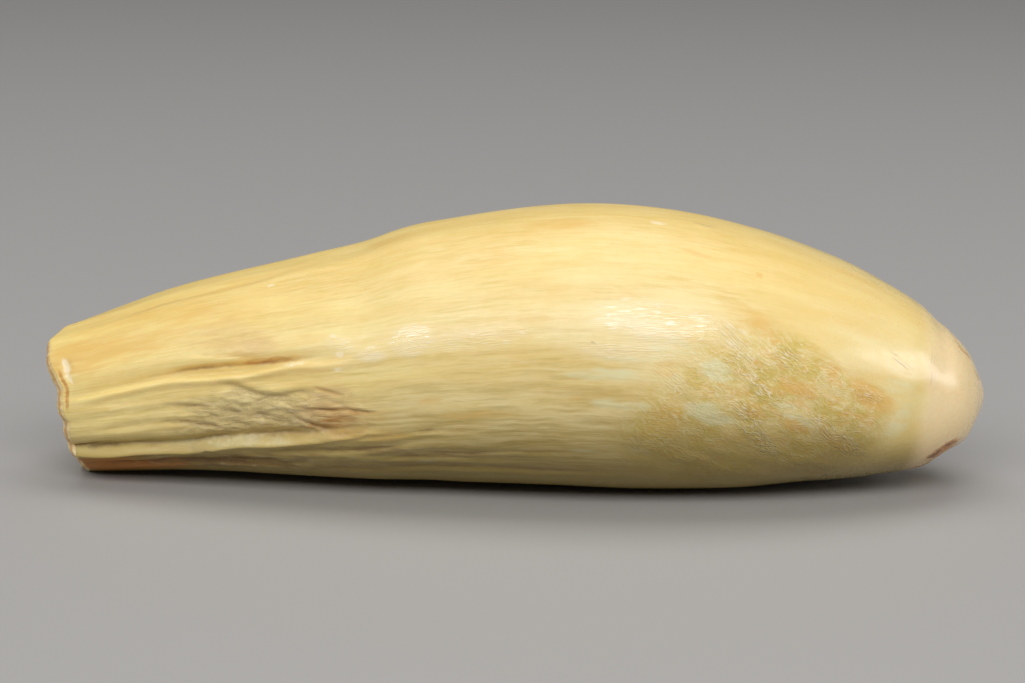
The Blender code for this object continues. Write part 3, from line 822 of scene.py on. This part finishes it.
class Wiring:
    """Adds nodes to one tree and wires them together."""

    def __init__(self, tree):
        self.tree = tree

    def add(self, kind, inputs=None, **settings):
        node = self.tree.nodes.new(kind)
        for name, value in settings.items():
            setattr(node, name, value)
        for key, value in (inputs or {}).items():
            self.feed(node.inputs[key], value)
        return node

    def feed(self, socket, value):
        if isinstance(value, bpy.types.NodeSocket):
            self.tree.links.new(value, socket)
        else:
            socket.default_value = value

    def math(self, operation, *values):
        inputs = dict(enumerate(values))
        return self.add("ShaderNodeMath", inputs, operation=operation).outputs[0]

    def vectors(self, operation, first, second):
        inputs = {0: first, 1: second}
        return self.add("ShaderNodeVectorMath", inputs, operation=operation).outputs[0]

    def scaled(self, vector, factor):
        inputs = {0: vector, "Scale": factor}
        return self.add("ShaderNodeVectorMath", inputs, operation="SCALE").outputs[0]

    def total(self, *values):
        result = values[0]
        for value in values[1:]:
            result = self.math("ADD", result, value)
        return result

    def times(self, *values):
        result = values[0]
        for value in values[1:]:
            result = self.math("MULTIPLY", result, value)
        return result

    def span(self, value, low, high, bottom=0.0, top=1.0):
        """Maps low..high of a value to bottom..top with soft ends."""
        inputs = {"Value": value, "From Min": low, "From Max": high}
        inputs.update({"To Min": bottom, "To Max": top})
        node = self.add("ShaderNodeMapRange", inputs, interpolation_type="SMOOTHSTEP")
        return node.outputs["Result"]

    def mix(self, share, first, second):
        inputs = {0: share, 6: first, 7: second}
        return self.add("ShaderNodeMix", inputs, data_type="RGBA").outputs[2]

    def mask(self, name):
        return self.add("ShaderNodeAttribute", attribute_name=name).outputs["Fac"]

    def vector(self, name):
        return self.add("ShaderNodeAttribute", attribute_name=name).outputs["Vector"]

    def noise(self, place, scale, detail=2.0, roughness=0.5):
        inputs = {"Vector": place, "Scale": scale, "Detail": detail, "Roughness": roughness}
        return self.add("ShaderNodeTexNoise", inputs).outputs["Fac"]

    def drift(self, place, scale, detail, reach):
        """Moves a place about by up to half a reach, with soft noise of its own."""
        inputs = {"Vector": place, "Scale": scale, "Detail": detail}
        cloud = self.add("ShaderNodeTexNoise", inputs).outputs["Color"]
        return self.vectors("ADD", place, self.scaled(self.vectors("SUBTRACT", cloud, MID_GREY), reach))

    def stretched(self, place, length, width):
        """Scales a place down by a length along the tooth and a width across it."""
        size = self.add("ShaderNodeCombineXYZ", {0: length, 1: width, 2: width}).outputs[0]
        return self.vectors("DIVIDE", place, size)

    def group(self, tree, inputs):
        return self.add("ShaderNodeGroup", inputs, node_tree=tree).outputs

    def place(self):
        """Place on the object in millimetres."""
        return self.scaled(self.add("ShaderNodeTexCoord").outputs["Object"], 1.0 / MM)


FLOAT = "NodeSocketFloat"
VECTOR = "NodeSocketVector"
MID_GREY = (0.5, 0.5, 0.5)
FLAT = (1.0, 1.0, 0.0)


def new_group(name, inputs, outputs):
    """A node group with named sockets, its wiring and its input and output nodes."""
    tree = bpy.data.node_groups.new(name, "ShaderNodeTree")
    for label, kind, value in inputs:
        socket = tree.interface.new_socket(label, in_out="INPUT", socket_type=kind)
        if value is not None:
            socket.default_value = value
    for label in outputs:
        tree.interface.new_socket(label, in_out="OUTPUT", socket_type=FLOAT)
    wiring = Wiring(tree)
    entry = wiring.add("NodeGroupInput")
    leave = wiring.add("NodeGroupOutput")
    return tree, wiring, entry.outputs, leave.inputs


def lengthwise_grain_group():
    """Long streaks that run from the root to the tip."""
    inputs = (
        ("Grain", VECTOR, None), ("Length", FLOAT, 40.0),
        ("Width", FLOAT, 1.0), ("Warp", FLOAT, 0.0),
    )
    tree, w, given, out = new_group("lengthwise_grain", inputs, ("Streak", "Height"))
    bent = w.drift(given["Grain"], scale=0.16, detail=2.0, reach=given["Warp"])
    stretched = w.stretched(bent, given["Length"], given["Width"])
    height = w.noise(stretched, scale=1.0, detail=3.0, roughness=0.6)
    w.feed(out["Height"], height)
    w.feed(out["Streak"], w.span(height, low=0.4, high=0.66))
    return tree


def ragged_mask_group():
    """Breaks up the soft edge of a stain."""
    inputs = (
        ("Mask", FLOAT, 0.0), ("Place", VECTOR, None),
        ("Size", FLOAT, 2.0), ("Amount", FLOAT, 0.5),
    )
    tree, w, given, out = new_group("ragged_mask", inputs, ("Mask",))
    scale = w.math("DIVIDE", 1.0, given["Size"])
    cloud = w.noise(given["Place"], scale, detail=2.5, roughness=0.55)
    shift = w.times(w.math("SUBTRACT", cloud, 0.5), given["Amount"], 2.0)
    ragged = w.math("ADD", given["Mask"], shift)
    solid = w.span(ragged, low=0.12, high=0.95)
    w.feed(out["Mask"], w.times(solid, w.span(given["Mask"], low=0.0, high=0.3)))
    return tree


def cloud_group():
    """Soft uneven colour."""
    inputs = (("Place", VECTOR, None), ("Size", FLOAT, 8.0))
    tree, w, given, out = new_group("cloudy_tone", inputs, ("Cloud",))
    scale = w.math("DIVIDE", 1.0, given["Size"])
    cloud = w.noise(given["Place"], scale, detail=3.0, roughness=0.55)
    w.feed(out["Cloud"], w.span(cloud, low=0.3, high=0.7))
    return tree


def pits_group():
    """Scattered tiny pits, with their shade and their depth."""
    inputs = (("Place", VECTOR, None), ("Size", FLOAT, 1.0), ("Share", FLOAT, 0.2))
    tree, w, given, out = new_group("tiny_pits", inputs, ("Pit", "Height"))
    scale = w.math("DIVIDE", 1.0, given["Size"])
    cells = w.add("ShaderNodeTexVoronoi", {"Vector": given["Place"], "Scale": scale}).outputs
    chosen = w.add("ShaderNodeSeparateXYZ", {0: cells["Color"]}).outputs[0]
    kept = w.math("LESS_THAN", chosen, given["Share"])
    pit = w.times(kept, w.span(cells["Distance"], low=0.34, high=0.12))
    w.feed(out["Pit"], pit)
    w.feed(out["Height"], w.times(pit, -1.0))
    return tree


def scratch_group():
    """Fine straight scratches at a slant on the unrolled wall."""
    inputs = (
        ("Skin", VECTOR, None), ("Slant", FLOAT, 0.0), ("Length", FLOAT, 6.0),
        ("Width", FLOAT, 0.3), ("Fewness", FLOAT, 0.62), ("Softness", FLOAT, 0.06),
    )
    tree, w, given, out = new_group("fine_scratches", inputs, ("Scratch", "Height"))
    turn = {"Vector": given["Skin"], "Angle": w.math("RADIANS", given["Slant"])}
    turned_skin = w.add("ShaderNodeVectorRotate", turn, rotation_type="Z_AXIS").outputs[0]
    flat = w.vectors("MULTIPLY", turned_skin, FLAT)
    stretched = w.stretched(flat, given["Length"], given["Width"])
    height = w.noise(stretched, scale=1.0)
    full = w.math("ADD", given["Fewness"], given["Softness"])
    w.feed(out["Scratch"], w.span(height, given["Fewness"], full))
    w.feed(out["Height"], height)
    return tree


def crease_group():
    """A thin uneven line along a groove, from the distance to its middle."""
    inputs = (
        ("Seam", FLOAT, 0.0), ("Line", FLOAT, 0.0), ("Place", VECTOR, None), ("Width", FLOAT, 0.3),
    )
    tree, w, given, out = new_group("crease", inputs, ("Crease",))
    sway = w.times(w.math("SUBTRACT", w.noise(given["Place"], scale=0.5), 0.5), 0.8)
    off = w.math("DIVIDE", w.math("ADD", given["Seam"], sway), given["Width"])
    thin = w.math("EXPONENT", w.times(off, off, -1.0))
    broken = w.span(w.noise(given["Place"], scale=0.3), low=0.35, high=0.6, bottom=0.4)
    w.feed(out["Crease"], w.times(thin, given["Line"], broken))
    return tree


def build_groups():
    """The shared effects by name."""
    return {
        "crease": crease_group(),
        "grain": lengthwise_grain_group(),
        "ragged": ragged_mask_group(),
        "cloud": cloud_group(),
        "pits": pits_group(),
        "scratch": scratch_group(),
    }


LIGHT_SPREAD = (1.0, 0.62, 0.34)   # how far red, green and blue light spread in ivory
IVORY_IOR = 1.54
COAT_ROUGHNESS = 0.12
FIBRE_SCALE = (0.3, 1.0, 1.0)      # squeezes the grain, so that stains run lengthwise
MOTTLE_SHIFT = (40.0, 17.0, 9.0)   # puts the mottled clouds elsewhere than the others


class Finish(Wiring):
    """The wiring of one material, with its tones and the shared effects at hand."""

    def __init__(self, name, settings, groups):
        self.material = bpy.data.materials.new(name)
        self.material.use_nodes = True
        super().__init__(self.material.node_tree)
        self.settings = settings
        self.groups = groups
        self.shader = self.tree.nodes["Principled BSDF"].inputs
        self.shader["Subsurface Weight"].default_value = settings.translucency
        self.shader["Subsurface Radius"].default_value = LIGHT_SPREAD
        self.shader["Subsurface Scale"].default_value = settings.light_reach
        self.shader["IOR"].default_value = IVORY_IOR
        self.shader["Coat Roughness"].default_value = COAT_ROUGHNESS

    def ragged(self, name, place, size, amount):
        """A mask by its name, with its soft edge broken up."""
        given = {"Mask": self.mask(name), "Place": place, "Size": size, "Amount": amount}
        return self.group(self.groups["ragged"], given)["Mask"]

    def streaks(self, grain, length, width, warp=0.0):
        """Lengthwise streaks, with their share and their height."""
        given = {"Grain": grain, "Length": length, "Width": width, "Warp": warp}
        return self.group(self.groups["grain"], given)

    def strokes(self, skin, slant, length, width, fewness, softness=0.06):
        """Short strokes at a slant in degrees, with their share and their height."""
        given = {"Skin": skin, "Slant": slant, "Length": length, "Width": width}
        given.update({"Fewness": fewness, "Softness": softness})
        return self.group(self.groups["scratch"], given)

    def crease(self, place, width):
        """The thin dark line at the bottom of each groove."""
        given = {"Seam": self.mask("seam"), "Line": self.mask("line"), "Place": place}
        return self.group(self.groups["crease"], {**given, "Width": width})["Crease"]

    def clouds(self, place, size):
        return self.group(self.groups["cloud"], {"Place": place, "Size": size})["Cloud"]

    def pits(self, place, size, share):
        return self.group(self.groups["pits"], {"Place": place, "Size": size, "Share": share})

    def layers(self, colour, rows):
        """Lays tones over a colour, each with the product of its shares."""
        for tone, *shares in rows:
            colour = self.mix(self.times(*shares), colour, getattr(self.settings, tone))
        return colour

    def dress(self, colour, roughness, height):
        """Gives the material its colour, its roughness and its relief in millimetres."""
        bump = self.add("ShaderNodeBump", {"Height": height, "Distance": MM, "Strength": 1.0})
        self.feed(self.shader["Base Color"], colour)
        self.feed(self.shader["Roughness"], roughness)
        self.feed(self.shader["Normal"], bump.outputs[0])


class Outside:
    """The places, streaks and strokes that the tones and the relief of the outside share."""

    def __init__(self, w):
        self.place = w.place()
        self.grain = w.vector("grain")
        self.skin = w.vector("skin")
        self.fibre = w.vectors("MULTIPLY", self.grain, FIBRE_SCALE)
        self.swirled = w.drift(self.skin, scale=0.3, detail=1.0, reach=2.2)
        self.bare = w.span(w.mask("cap"), low=1.0, high=0.0)
        self.patchy = w.clouds(self.fibre, size=4.0)
        self.speck = w.clouds(self.place, size=1.6)
        self.fine = w.streaks(self.grain, length=12.0, width=0.75, warp=1.0)
        self.hair = w.streaks(self.grain, length=5.0, width=0.32, warp=0.8)
        self.folds = w.streaks(self.grain, length=4.0, width=0.9, warp=4.0)
        self.whorl = w.strokes(
            self.swirled, slant=-35.0, length=1.3, width=0.32, fewness=0.5, softness=0.12
        )
        self.ripple = w.strokes(
            self.swirled, slant=-14.0, length=1.0, width=0.3, fewness=0.52, softness=0.12
        )
        self.glints = w.strokes(
            self.skin, slant=4.0, length=2.4, width=0.22, fewness=0.53, softness=0.1
        )
        self.slashes = w.strokes(
            self.skin, slant=-40.0, length=3.2, width=0.24, fewness=0.52, softness=0.08
        )
        glint = w.ragged("glint", self.place, size=1.6, amount=0.8)
        glint = w.times(self.glints["Scratch"], glint)
        slash = w.times(self.slashes["Scratch"], w.mask("slash"))
        self.sparkle = w.math("MAXIMUM", glint, slash)
        self.crease = w.crease(self.place, width=0.34)


def clean_ivory(w, outside):
    """Clouds and streaks of the clean ivory, and the dull bands of the flanks."""
    root = w.mask("root")
    banded = w.mask("banded")
    polish = w.mask("polish")
    bare = outside.bare
    patchy = outside.patchy
    fine = outside.fine
    hair = outside.hair
    broad = w.streaks(outside.grain, length=26.0, width=2.2, warp=1.6)
    cloud = w.clouds(outside.fibre, size=9.0)
    mottle = w.clouds(w.vectors("ADD", outside.fibre, MOTTLE_SHIFT), size=5.5)
    streaked = w.times(bare, w.span(polish, low=0.0, high=1.0, bottom=1.0, top=0.35))
    crest = w.times(w.mask("crest"), bare, w.span(patchy, low=0.0, high=1.0, bottom=0.6))
    thread = w.span(hair["Height"], low=0.46, high=0.36)
    dull_bands = w.span(broad["Height"], low=0.42, high=0.64, bottom=0.4)
    dull_lines = w.span(fine["Height"], low=0.5, high=0.66)
    light_lines = w.span(fine["Height"], low=0.48, high=0.36)
    return w.layers(w.settings.ivory, (
        ("pale_ivory", cloud, 0.9),
        ("root_ivory", root, 0.8),
        ("honey", crest, w.total(0.75, w.times(polish, -0.35))),
        ("amber", mottle, bare, 0.2),
        ("rosy", patchy, bare, 0.12),
        ("amber", broad["Streak"], streaked, w.total(0.18, w.times(root, 0.1))),
        ("straw", fine["Streak"], streaked, patchy, w.total(0.34, w.times(root, 0.04))),
        ("straw", thread, streaked, 0.14),
        ("pale_ivory", hair["Streak"], streaked, patchy, 0.36),
        ("straw", outside.speck, bare, 0.08),
        ("olive_and_shade", banded, dull_bands, 0.46),
        ("olive_and_shade", banded, dull_lines, 0.34),
        ("pale_ivory", banded, light_lines, 0.42),
    ))


def stained_ivory(w, outside, colour):
    """The rippled patch of the crown, the stains, the folds and the creases."""
    wrinkle = w.mask("wrinkle")
    bare = outside.bare
    patchy = outside.patchy
    place = outside.place
    fibre = outside.fibre
    swirled = outside.swirled
    printed = w.ragged("print", place, size=5.0, amount=0.45)
    ridged = w.times(w.ragged("ridged", place, size=1.6, amount=0.7), bare)
    etched = w.math("MAXIMUM", w.times(printed, patchy, 0.32), w.times(ridged, 0.72))
    tone = w.strokes(swirled, slant=-24.0, length=7.0, width=4.2, fewness=0.4, softness=0.2)
    dab = w.strokes(swirled, slant=-24.0, length=3.2, width=1.9, fewness=0.5, softness=0.08)
    fleck = w.strokes(swirled, slant=-24.0, length=1.9, width=0.9, fewness=0.54)
    fold = w.times(wrinkle, w.span(outside.folds["Height"], low=0.5, high=0.36))
    fold = w.math("MAXIMUM", fold, w.mask("fold"))
    crinkle = w.times(wrinkle, w.span(outside.folds["Height"], low=0.54, high=0.68))
    amber = w.ragged("amber", fibre, size=1.8, amount=0.65)
    return w.layers(colour, (
        ("straw", printed, w.total(0.36, w.times(tone["Scratch"], 0.54))),
        ("amber", printed, dab["Scratch"], patchy, 0.7),
        ("pale_ivory", printed, fleck["Scratch"], 0.28),
        ("milky", w.ragged("pale", fibre, size=1.5, amount=0.7), 0.62),
        ("straw", w.mask("ring"), bare, 0.22),
        ("amber", amber, w.total(0.6, w.times(printed, 0.2))),
        ("fresh", etched, outside.whorl["Scratch"]),
        ("fresh", printed, outside.speck, outside.ripple["Scratch"], 0.5),
        ("rosy", w.ragged("rosy", fibre, size=1.3, amount=0.5), 0.5),
        ("dust", w.ragged("grey", fibre, size=0.9, amount=0.5), 0.46),
        # darker underside: partly a dull stain, partly painted shade
        ("olive_and_shade", w.mask("grime"), 0.8),
        ("soil", w.ragged("brown", fibre, size=1.1, amount=0.7), 0.6),
        ("rust", w.ragged("rust", fibre, size=1.2, amount=0.6), 0.9),
        # darker in the floors of the wrinkles and paler on their raised parts
        ("soil", fold, 0.34),
        ("fresh", crinkle, 0.22),
        ("brown", outside.crease, 0.74),
        ("fresh", w.ragged("fresh", place, size=0.9, amount=0.5), 0.75),
    ))


def capped_ivory(w, outside, colour):
    """The dentine cap with its pits and scratches, and the glints of the flank painted in as pale
    highlights.
    """
    cap = w.mask("cap")
    crack = w.strokes(outside.skin, slant=-32.0, length=5.0, width=0.3, fewness=0.56)
    crack = w.times(crack["Scratch"], w.mask("crackle"))
    score = w.strokes(outside.skin, slant=88.0, length=4.5, width=0.26, fewness=0.56)
    score = w.times(score["Scratch"], w.mask("scored"), 0.7)
    highlight_veil = w.times(w.mask("glint"), outside.patchy, 0.45)
    return w.layers(colour, (
        ("dentine", cap, 0.85),
        ("rust", cap, w.ragged("rust", outside.place, size=1.0, amount=0.6), 0.85),
        ("brown", cap, w.ragged("brown", outside.place, size=0.7, amount=0.6), 0.9),
        ("soil", w.math("MAXIMUM", crack, score), 0.5),
        # painted highlight: the glints and their veil laid on in pale ivory
        ("fresh", w.math("MAXIMUM", highlight_veil, w.times(outside.sparkle, 0.75))),
    ))


def outer_relief(w, outside):
    """The height of streaks, strokes, creases and worn patches."""
    root = w.mask("root")
    wrinkle = w.mask("wrinkle")
    trodden = w.mask("print")
    matt = w.span(w.mask("polish"), low=0.0, high=1.0, bottom=1.0, top=0.0)
    carved = w.total(w.times(trodden, 0.09), w.times(w.mask("ridged"), outside.bare, 0.46))
    worn = w.total(
        w.times(w.mask("grey"), 0.3),
        w.times(trodden, w.span(w.mask("grime"), low=0.0, high=1.0, bottom=0.12, top=0.03)),
        w.times(w.mask("cap"), w.mask("rust"), 0.5),
    )
    return w.total(
        w.times(outside.fine["Height"], 0.07, w.total(0.3, w.times(root, 0.6)), matt),
        w.times(outside.hair["Height"], 0.035, w.total(0.4, w.times(root, 0.6)), matt),
        w.times(outside.folds["Height"], wrinkle, 0.35),
        w.times(outside.whorl["Height"], carved),
        w.times(outside.ripple["Height"], trodden, 0.13),
        w.times(outside.crease, -0.12),
        w.times(outside.glints["Height"], w.mask("glint"), 0.11),
        w.times(outside.slashes["Height"], w.mask("slash"), 0.24),
        w.times(w.noise(outside.place, scale=1.2, detail=3.0, roughness=0.6), worn),
    )


def outer_ivory(settings, groups):
    """Cementum and dentine of the outside, from the polished crown to the root."""
    w = Finish("ivory_outside", settings, groups)
    outside = Outside(w)
    polish = w.mask("polish")
    colour = clean_ivory(w, outside)
    colour = stained_ivory(w, outside, colour)
    colour = capped_ivory(w, outside, colour)
    roughness = w.total(
        0.43,
        w.times(w.mask("rough"), 0.1),
        w.times(polish, -0.14),
        w.times(w.math("SUBTRACT", outside.speck, 0.5), 0.1),
        w.times(outside.sparkle, -0.15),
    )
    w.dress(colour, roughness, outer_relief(w, outside))
    haze = w.times(w.mask("glint"), outside.speck, 0.4)
    coat = w.math("MAXIMUM", w.math("MAXIMUM", w.times(polish, 0.2), haze), outside.sparkle)
    coat = w.math("MAXIMUM", coat, w.times(w.mask("wedge"), 0.6))
    w.feed(w.shader["Coat Weight"], coat)
    return w.material


def broken_rim(settings, groups):
    """The fracture round the open root: paler, dry and crumbly."""
    w = Finish("ivory_broken_rim", settings, groups)
    place = w.place()
    cloud = w.clouds(place, size=3.0)
    pits = w.pits(place, size=1.1, share=0.08)
    crumbs = w.noise(place, scale=1.6, detail=4.0, roughness=0.65)
    stained = w.span(w.noise(place, scale=0.5, detail=3.0, roughness=0.6), low=0.5, high=0.66)
    inner = w.span(w.mask("edge"), low=0.9, high=0.8)
    seam = w.times(inner, w.span(w.mask("edge"), low=0.6, high=0.75))
    colour = w.layers(settings.rim, (
        ("fresh", cloud),
        ("ivory", w.ragged("edge", place, size=1.5, amount=0.5), 0.35),
        ("amber", stained, 0.7),
        ("rust", seam, 0.6),
        ("soil", pits["Pit"], 0.4),
    ))
    height = w.total(w.times(crumbs, 0.25), w.times(pits["Height"], 0.15))
    w.dress(colour, w.total(0.5, w.times(cloud, 0.2)), height)
    return w.material


def pulp_wall(settings, groups):
    """The inside of the pulp cavity, darker towards its end, with growth rings."""
    w = Finish("ivory_pulp_wall", settings, groups)
    place = w.place()
    rings = w.streaks(w.vector("grain"), length=1.6, width=18.0)
    cloud = w.clouds(place, size=5.0)
    pits = w.pits(place, size=1.8, share=0.25)
    deeper = w.span(w.mask("depth"), low=0.0, high=0.9, bottom=0.1, top=0.85)
    colour = w.layers(settings.rim, (
        ("straw", cloud, 0.7),
        ("amber", rings["Streak"], 0.5),
        ("brown", deeper),
        ("brown", pits["Pit"], 0.5),
    ))
    height = w.total(w.times(rings["Height"], 0.12), w.times(pits["Height"], 0.12))
    w.dress(colour, w.total(0.55, w.times(cloud, 0.2)), height)
    return w.material


def colour_property(name, description, default):
    return bpy.props.FloatVectorProperty(
        name=name, description=description, default=default + (1.0,),
        subtype="COLOR", size=4, min=0.0, max=1.0,
    )


DISTANCE = {"subtype": "DISTANCE", "unit": "LENGTH"}
ANGLE = {"subtype": "ANGLE", "unit": "ROTATION"}
POWER = {"unit": "POWER"}


def amount(name, description, default, low, high, **kind):
    return bpy.props.FloatProperty(
        name=name, description=description, default=default, min=low, max=high, **kind
    )


class ToothSettings(bpy.types.PropertyGroup):
    """Colours and finish of the ivory."""

    ivory: colour_property("Ivory", "Main colour of the crown and body", (0.82, 0.64, 0.26))
    pale_ivory: colour_property("Pale ivory", "Clouds of paler ivory", (0.88, 0.76, 0.42))
    root_ivory: colour_property("Root ivory", "Colour towards the root", (0.89, 0.73, 0.29))
    honey: colour_property("Honey", "Warm tone of the crest", (0.80, 0.56, 0.15))
    amber: colour_property("Amber", "Amber streaks and stains", (0.72, 0.43, 0.10))
    straw: colour_property("Straw", "Darker yellow lines", (0.60, 0.44, 0.085))
    # Olive also paints the darker underside, partly a dull stain and partly painted shade
    olive_and_shade: colour_property("Olive", "Dull bands along the lower flank", (0.27, 0.19, 0.034))
    milky: colour_property("Milky", "Pale bluish-green patches", (0.75, 0.75, 0.48))
    rosy: colour_property("Rosy", "Pinkish-brown stains", (0.66, 0.42, 0.19))
    dust: colour_property("Dust", "Grey-brown dirt in the hollow", (0.40, 0.31, 0.17))
    soil: colour_property("Soil", "Brown dirt in furrows and pits", (0.24, 0.13, 0.045))
    brown: colour_property("Brown", "Darkest lines and cracks", (0.17, 0.070, 0.018))
    rust: colour_property("Rust", "Orange-brown stains of the cap and rim", (0.50, 0.19, 0.025))
    # Fresh ivory also paints highlights: the glints of the flank, lit ledges and small glints
    fresh: colour_property("Fresh ivory", "Chips and worn ridges", (0.90, 0.79, 0.56))
    dentine: colour_property("Dentine", "Cap at the crown tip", (0.84, 0.64, 0.36))
    rim: colour_property("Rim", "Broken rim of the root", (0.86, 0.64, 0.28))
    translucency: amount(
        "Translucency", "Share of light that passes under the surface",
        0.2, 0.0, 1.0, subtype="FACTOR",
    )
    light_reach: amount(
        "Light reach", "How far light spreads under the surface", 0.0018, 0.0, 0.02, **DISTANCE
    )


class StageSettings(bpy.types.PropertyGroup):
    """Floor, lights and camera."""

    floor_size: amount("Floor size", "Width of the square floor", 8.0, 1.0, 50.0, **DISTANCE)
    floor_colour: colour_property("Floor", "Plain pale floor", (0.35, 0.34, 0.33))
    backdrop: colour_property("Surroundings", "Light from all round", (0.50, 0.49, 0.48))
    backdrop_strength: amount(
        "Surroundings strength", "Strength of the light from all round", 0.18, 0.0, 5.0
    )
    top_power: amount("Top light", "Power of the large light above", 12.5, 0.0, 500.0, **POWER)
    front_power: amount(
        "Front light", "Power of the light above the camera", 19.4, 0.0, 500.0, **POWER
    )
    side_power: amount(
        "Side light", "Power of the light beyond the crown", 2.4, 0.0, 500.0, **POWER
    )
    fill_power: amount(
        "Fill light", "Power of the weak light beyond the root", 2.0, 0.0, 500.0, **POWER
    )
    camera_distance: amount(
        "Camera distance", "From the camera to the tooth's middle", 0.520, 0.1, 5.0, **DISTANCE
    )
    camera_elevation: amount(
        "Camera elevation", "Height of the camera above the horizon",
        math.radians(13.0), 0.0, 1.5, **ANGLE,
    )
    camera_roll: amount(
        "Camera roll", "Turn of the camera about its own view",
        math.radians(0.7), -0.5, 0.5, **ANGLE,
    )
    lens: amount("Lens", "Focal length in millimetres", 100.5, 10.0, 300.0)


# A softbox stands in a direction, given in degrees to the right of the front and
# up, at a distance from the middle of the tooth. Its sizes are in metres, and power
# names its setting.
Softbox = namedtuple("Softbox", "name aside up distance width height power")
SOFTBOXES = (
    Softbox("top_softbox", 180.0, 80.0, 1.5, 1.4, 1.0, "top_power"),
    Softbox("front_softbox", -4.0, 40.0, 1.5, 1.6, 0.6, "front_power"),
    Softbox("side_softbox", 77.0, 19.0, 1.0, 0.54, 0.36, "side_power"),
    Softbox("fill_softbox", -72.0, 28.0, 1.5, 0.9, 0.9, "fill_power"),
)
LIGHTS_AIM = (0.0, 0.0, 0.03)
CAMERA_AIM = (-0.0008, 0.0, 0.0259)
SENSOR_WIDTH = 36.0      # millimetres, as the lens is
CLIP_START = 0.01
FLOOR_ROUGHNESS = 0.7


def softbox(box, power):
    """An area light that looks at the tooth."""
    aside = math.radians(box.aside)
    up = math.radians(box.up)
    flat = math.cos(up)
    direction = Vector((math.sin(aside) * flat, -math.cos(aside) * flat, math.sin(up)))
    target = Vector(LIGHTS_AIM)
    light = bpy.data.lights.new(box.name, "AREA")
    light.shape = "RECTANGLE"
    light.size = box.width
    light.size_y = box.height
    light.energy = power
    lamp = bpy.data.objects.new(box.name, light)
    lamp.location = target + direction * box.distance
    lamp.rotation_mode = "QUATERNION"
    lamp.rotation_quaternion = (target - lamp.location).to_track_quat("-Z", "Y")
    bpy.context.scene.collection.objects.link(lamp)


class WHALE_TOOTH_OT_body(bpy.types.Operator):
    """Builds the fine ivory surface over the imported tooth"""

    bl_idname = "whale_tooth.body"
    bl_label = "Ivory Tooth"

    def execute(self, context):
        settings = context.scene.whale_tooth
        mesh = tooth_mesh(TOOTH_BOX)
        if not mesh.polygons:
            raise RuntimeError("the tooth's surface has no faces")
        groups = build_groups()
        for material in (outer_ivory, broken_rim, pulp_wall):
            mesh.materials.append(material(settings, groups))
        tooth = bpy.data.objects.new("tooth_surface", mesh)
        context.scene.collection.objects.link(tooth)
        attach(tooth, "root")
        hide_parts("tooth")
        return {"FINISHED"}


class WHALE_TOOTH_OT_stage(bpy.types.Operator):
    """Sets out the floor, the soft lights and the camera"""

    bl_idname = "whale_tooth.stage"
    bl_label = "Studio Stage"

    def execute(self, context):
        stage = context.scene.whale_tooth_stage
        self.add_floor(context, stage)
        self.add_lights(context, stage)
        self.add_camera(context, stage)
        context.scene.view_settings.view_transform = "Standard"
        return {"FINISHED"}

    def add_floor(self, context, stage):
        half = stage.floor_size / 2
        corners = [(-half, -half, 0.0), (half, -half, 0.0), (half, half, 0.0), (-half, half, 0.0)]
        mesh = bpy.data.meshes.new("floor")
        mesh.from_pydata(corners, [], [(0, 1, 2, 3)])
        material = bpy.data.materials.new("pale_floor")
        material.use_nodes = True
        shader = material.node_tree.nodes["Principled BSDF"]
        shader.inputs["Base Color"].default_value = stage.floor_colour
        shader.inputs["Roughness"].default_value = FLOOR_ROUGHNESS
        mesh.materials.append(material)
        floor = bpy.data.objects.new("floor", mesh)
        context.scene.collection.objects.link(floor)

    def add_lights(self, context, stage):
        world = bpy.data.worlds.new("soft_surroundings")
        world.use_nodes = True
        background = world.node_tree.nodes["Background"]
        background.inputs["Color"].default_value = stage.backdrop
        background.inputs["Strength"].default_value = stage.backdrop_strength
        context.scene.world = world
        for box in SOFTBOXES:
            softbox(box, getattr(stage, box.power))

    def add_camera(self, context, stage):
        aim = Vector(CAMERA_AIM)
        back = Vector((0.0, -math.cos(stage.camera_elevation), math.sin(stage.camera_elevation)))
        data = bpy.data.cameras.new("camera")
        data.sensor_width = SENSOR_WIDTH
        data.lens = stage.lens
        data.clip_start = CLIP_START
        camera = bpy.data.objects.new("camera", data)
        look = (-back).to_track_quat("-Z", "Y").to_matrix().to_4x4()
        roll = Matrix.Rotation(stage.camera_roll, 4, "Z")
        place = Matrix.Translation(aim + back * stage.camera_distance)
        camera.matrix_world = place @ look @ roll
        context.scene.collection.objects.link(camera)
        context.scene.camera = camera


class WHALE_TOOTH_PT_panel(bpy.types.Panel):
    """Lists the builders of the tooth and its stage"""

    bl_idname = "WHALE_TOOTH_PT_panel"
    bl_label = "Sperm Whale Tooth"
    bl_space_type = "VIEW_3D"
    bl_region_type = "UI"
    bl_category = "Tooth"

    def draw(self, context):
        layout = self.layout
        for group in (context.scene.whale_tooth, context.scene.whale_tooth_stage):
            for name in group.bl_rna.properties.keys():
                if name not in ("rna_type", "name"):
                    layout.prop(group, name)
        layout.operator(WHALE_TOOTH_OT_body.bl_idname)
        layout.operator(WHALE_TOOTH_OT_stage.bl_idname)


CLASSES = (
    ToothSettings,
    StageSettings,
    WHALE_TOOTH_OT_body,
    WHALE_TOOTH_OT_stage,
    WHALE_TOOTH_PT_panel,
)


def register():
    for cls in CLASSES:
        bpy.utils.register_class(cls)
    bpy.types.Scene.whale_tooth = bpy.props.PointerProperty(type=ToothSettings)
    bpy.types.Scene.whale_tooth_stage = bpy.props.PointerProperty(type=StageSettings)


def unregister():
    del bpy.types.Scene.whale_tooth_stage
    del bpy.types.Scene.whale_tooth
    for cls in reversed(CLASSES):
        bpy.utils.unregister_class(cls)


def main():
    register()
    bpy.ops.whale_tooth.body()
    bpy.ops.whale_tooth.stage()


if __name__ == "__main__":
    main()
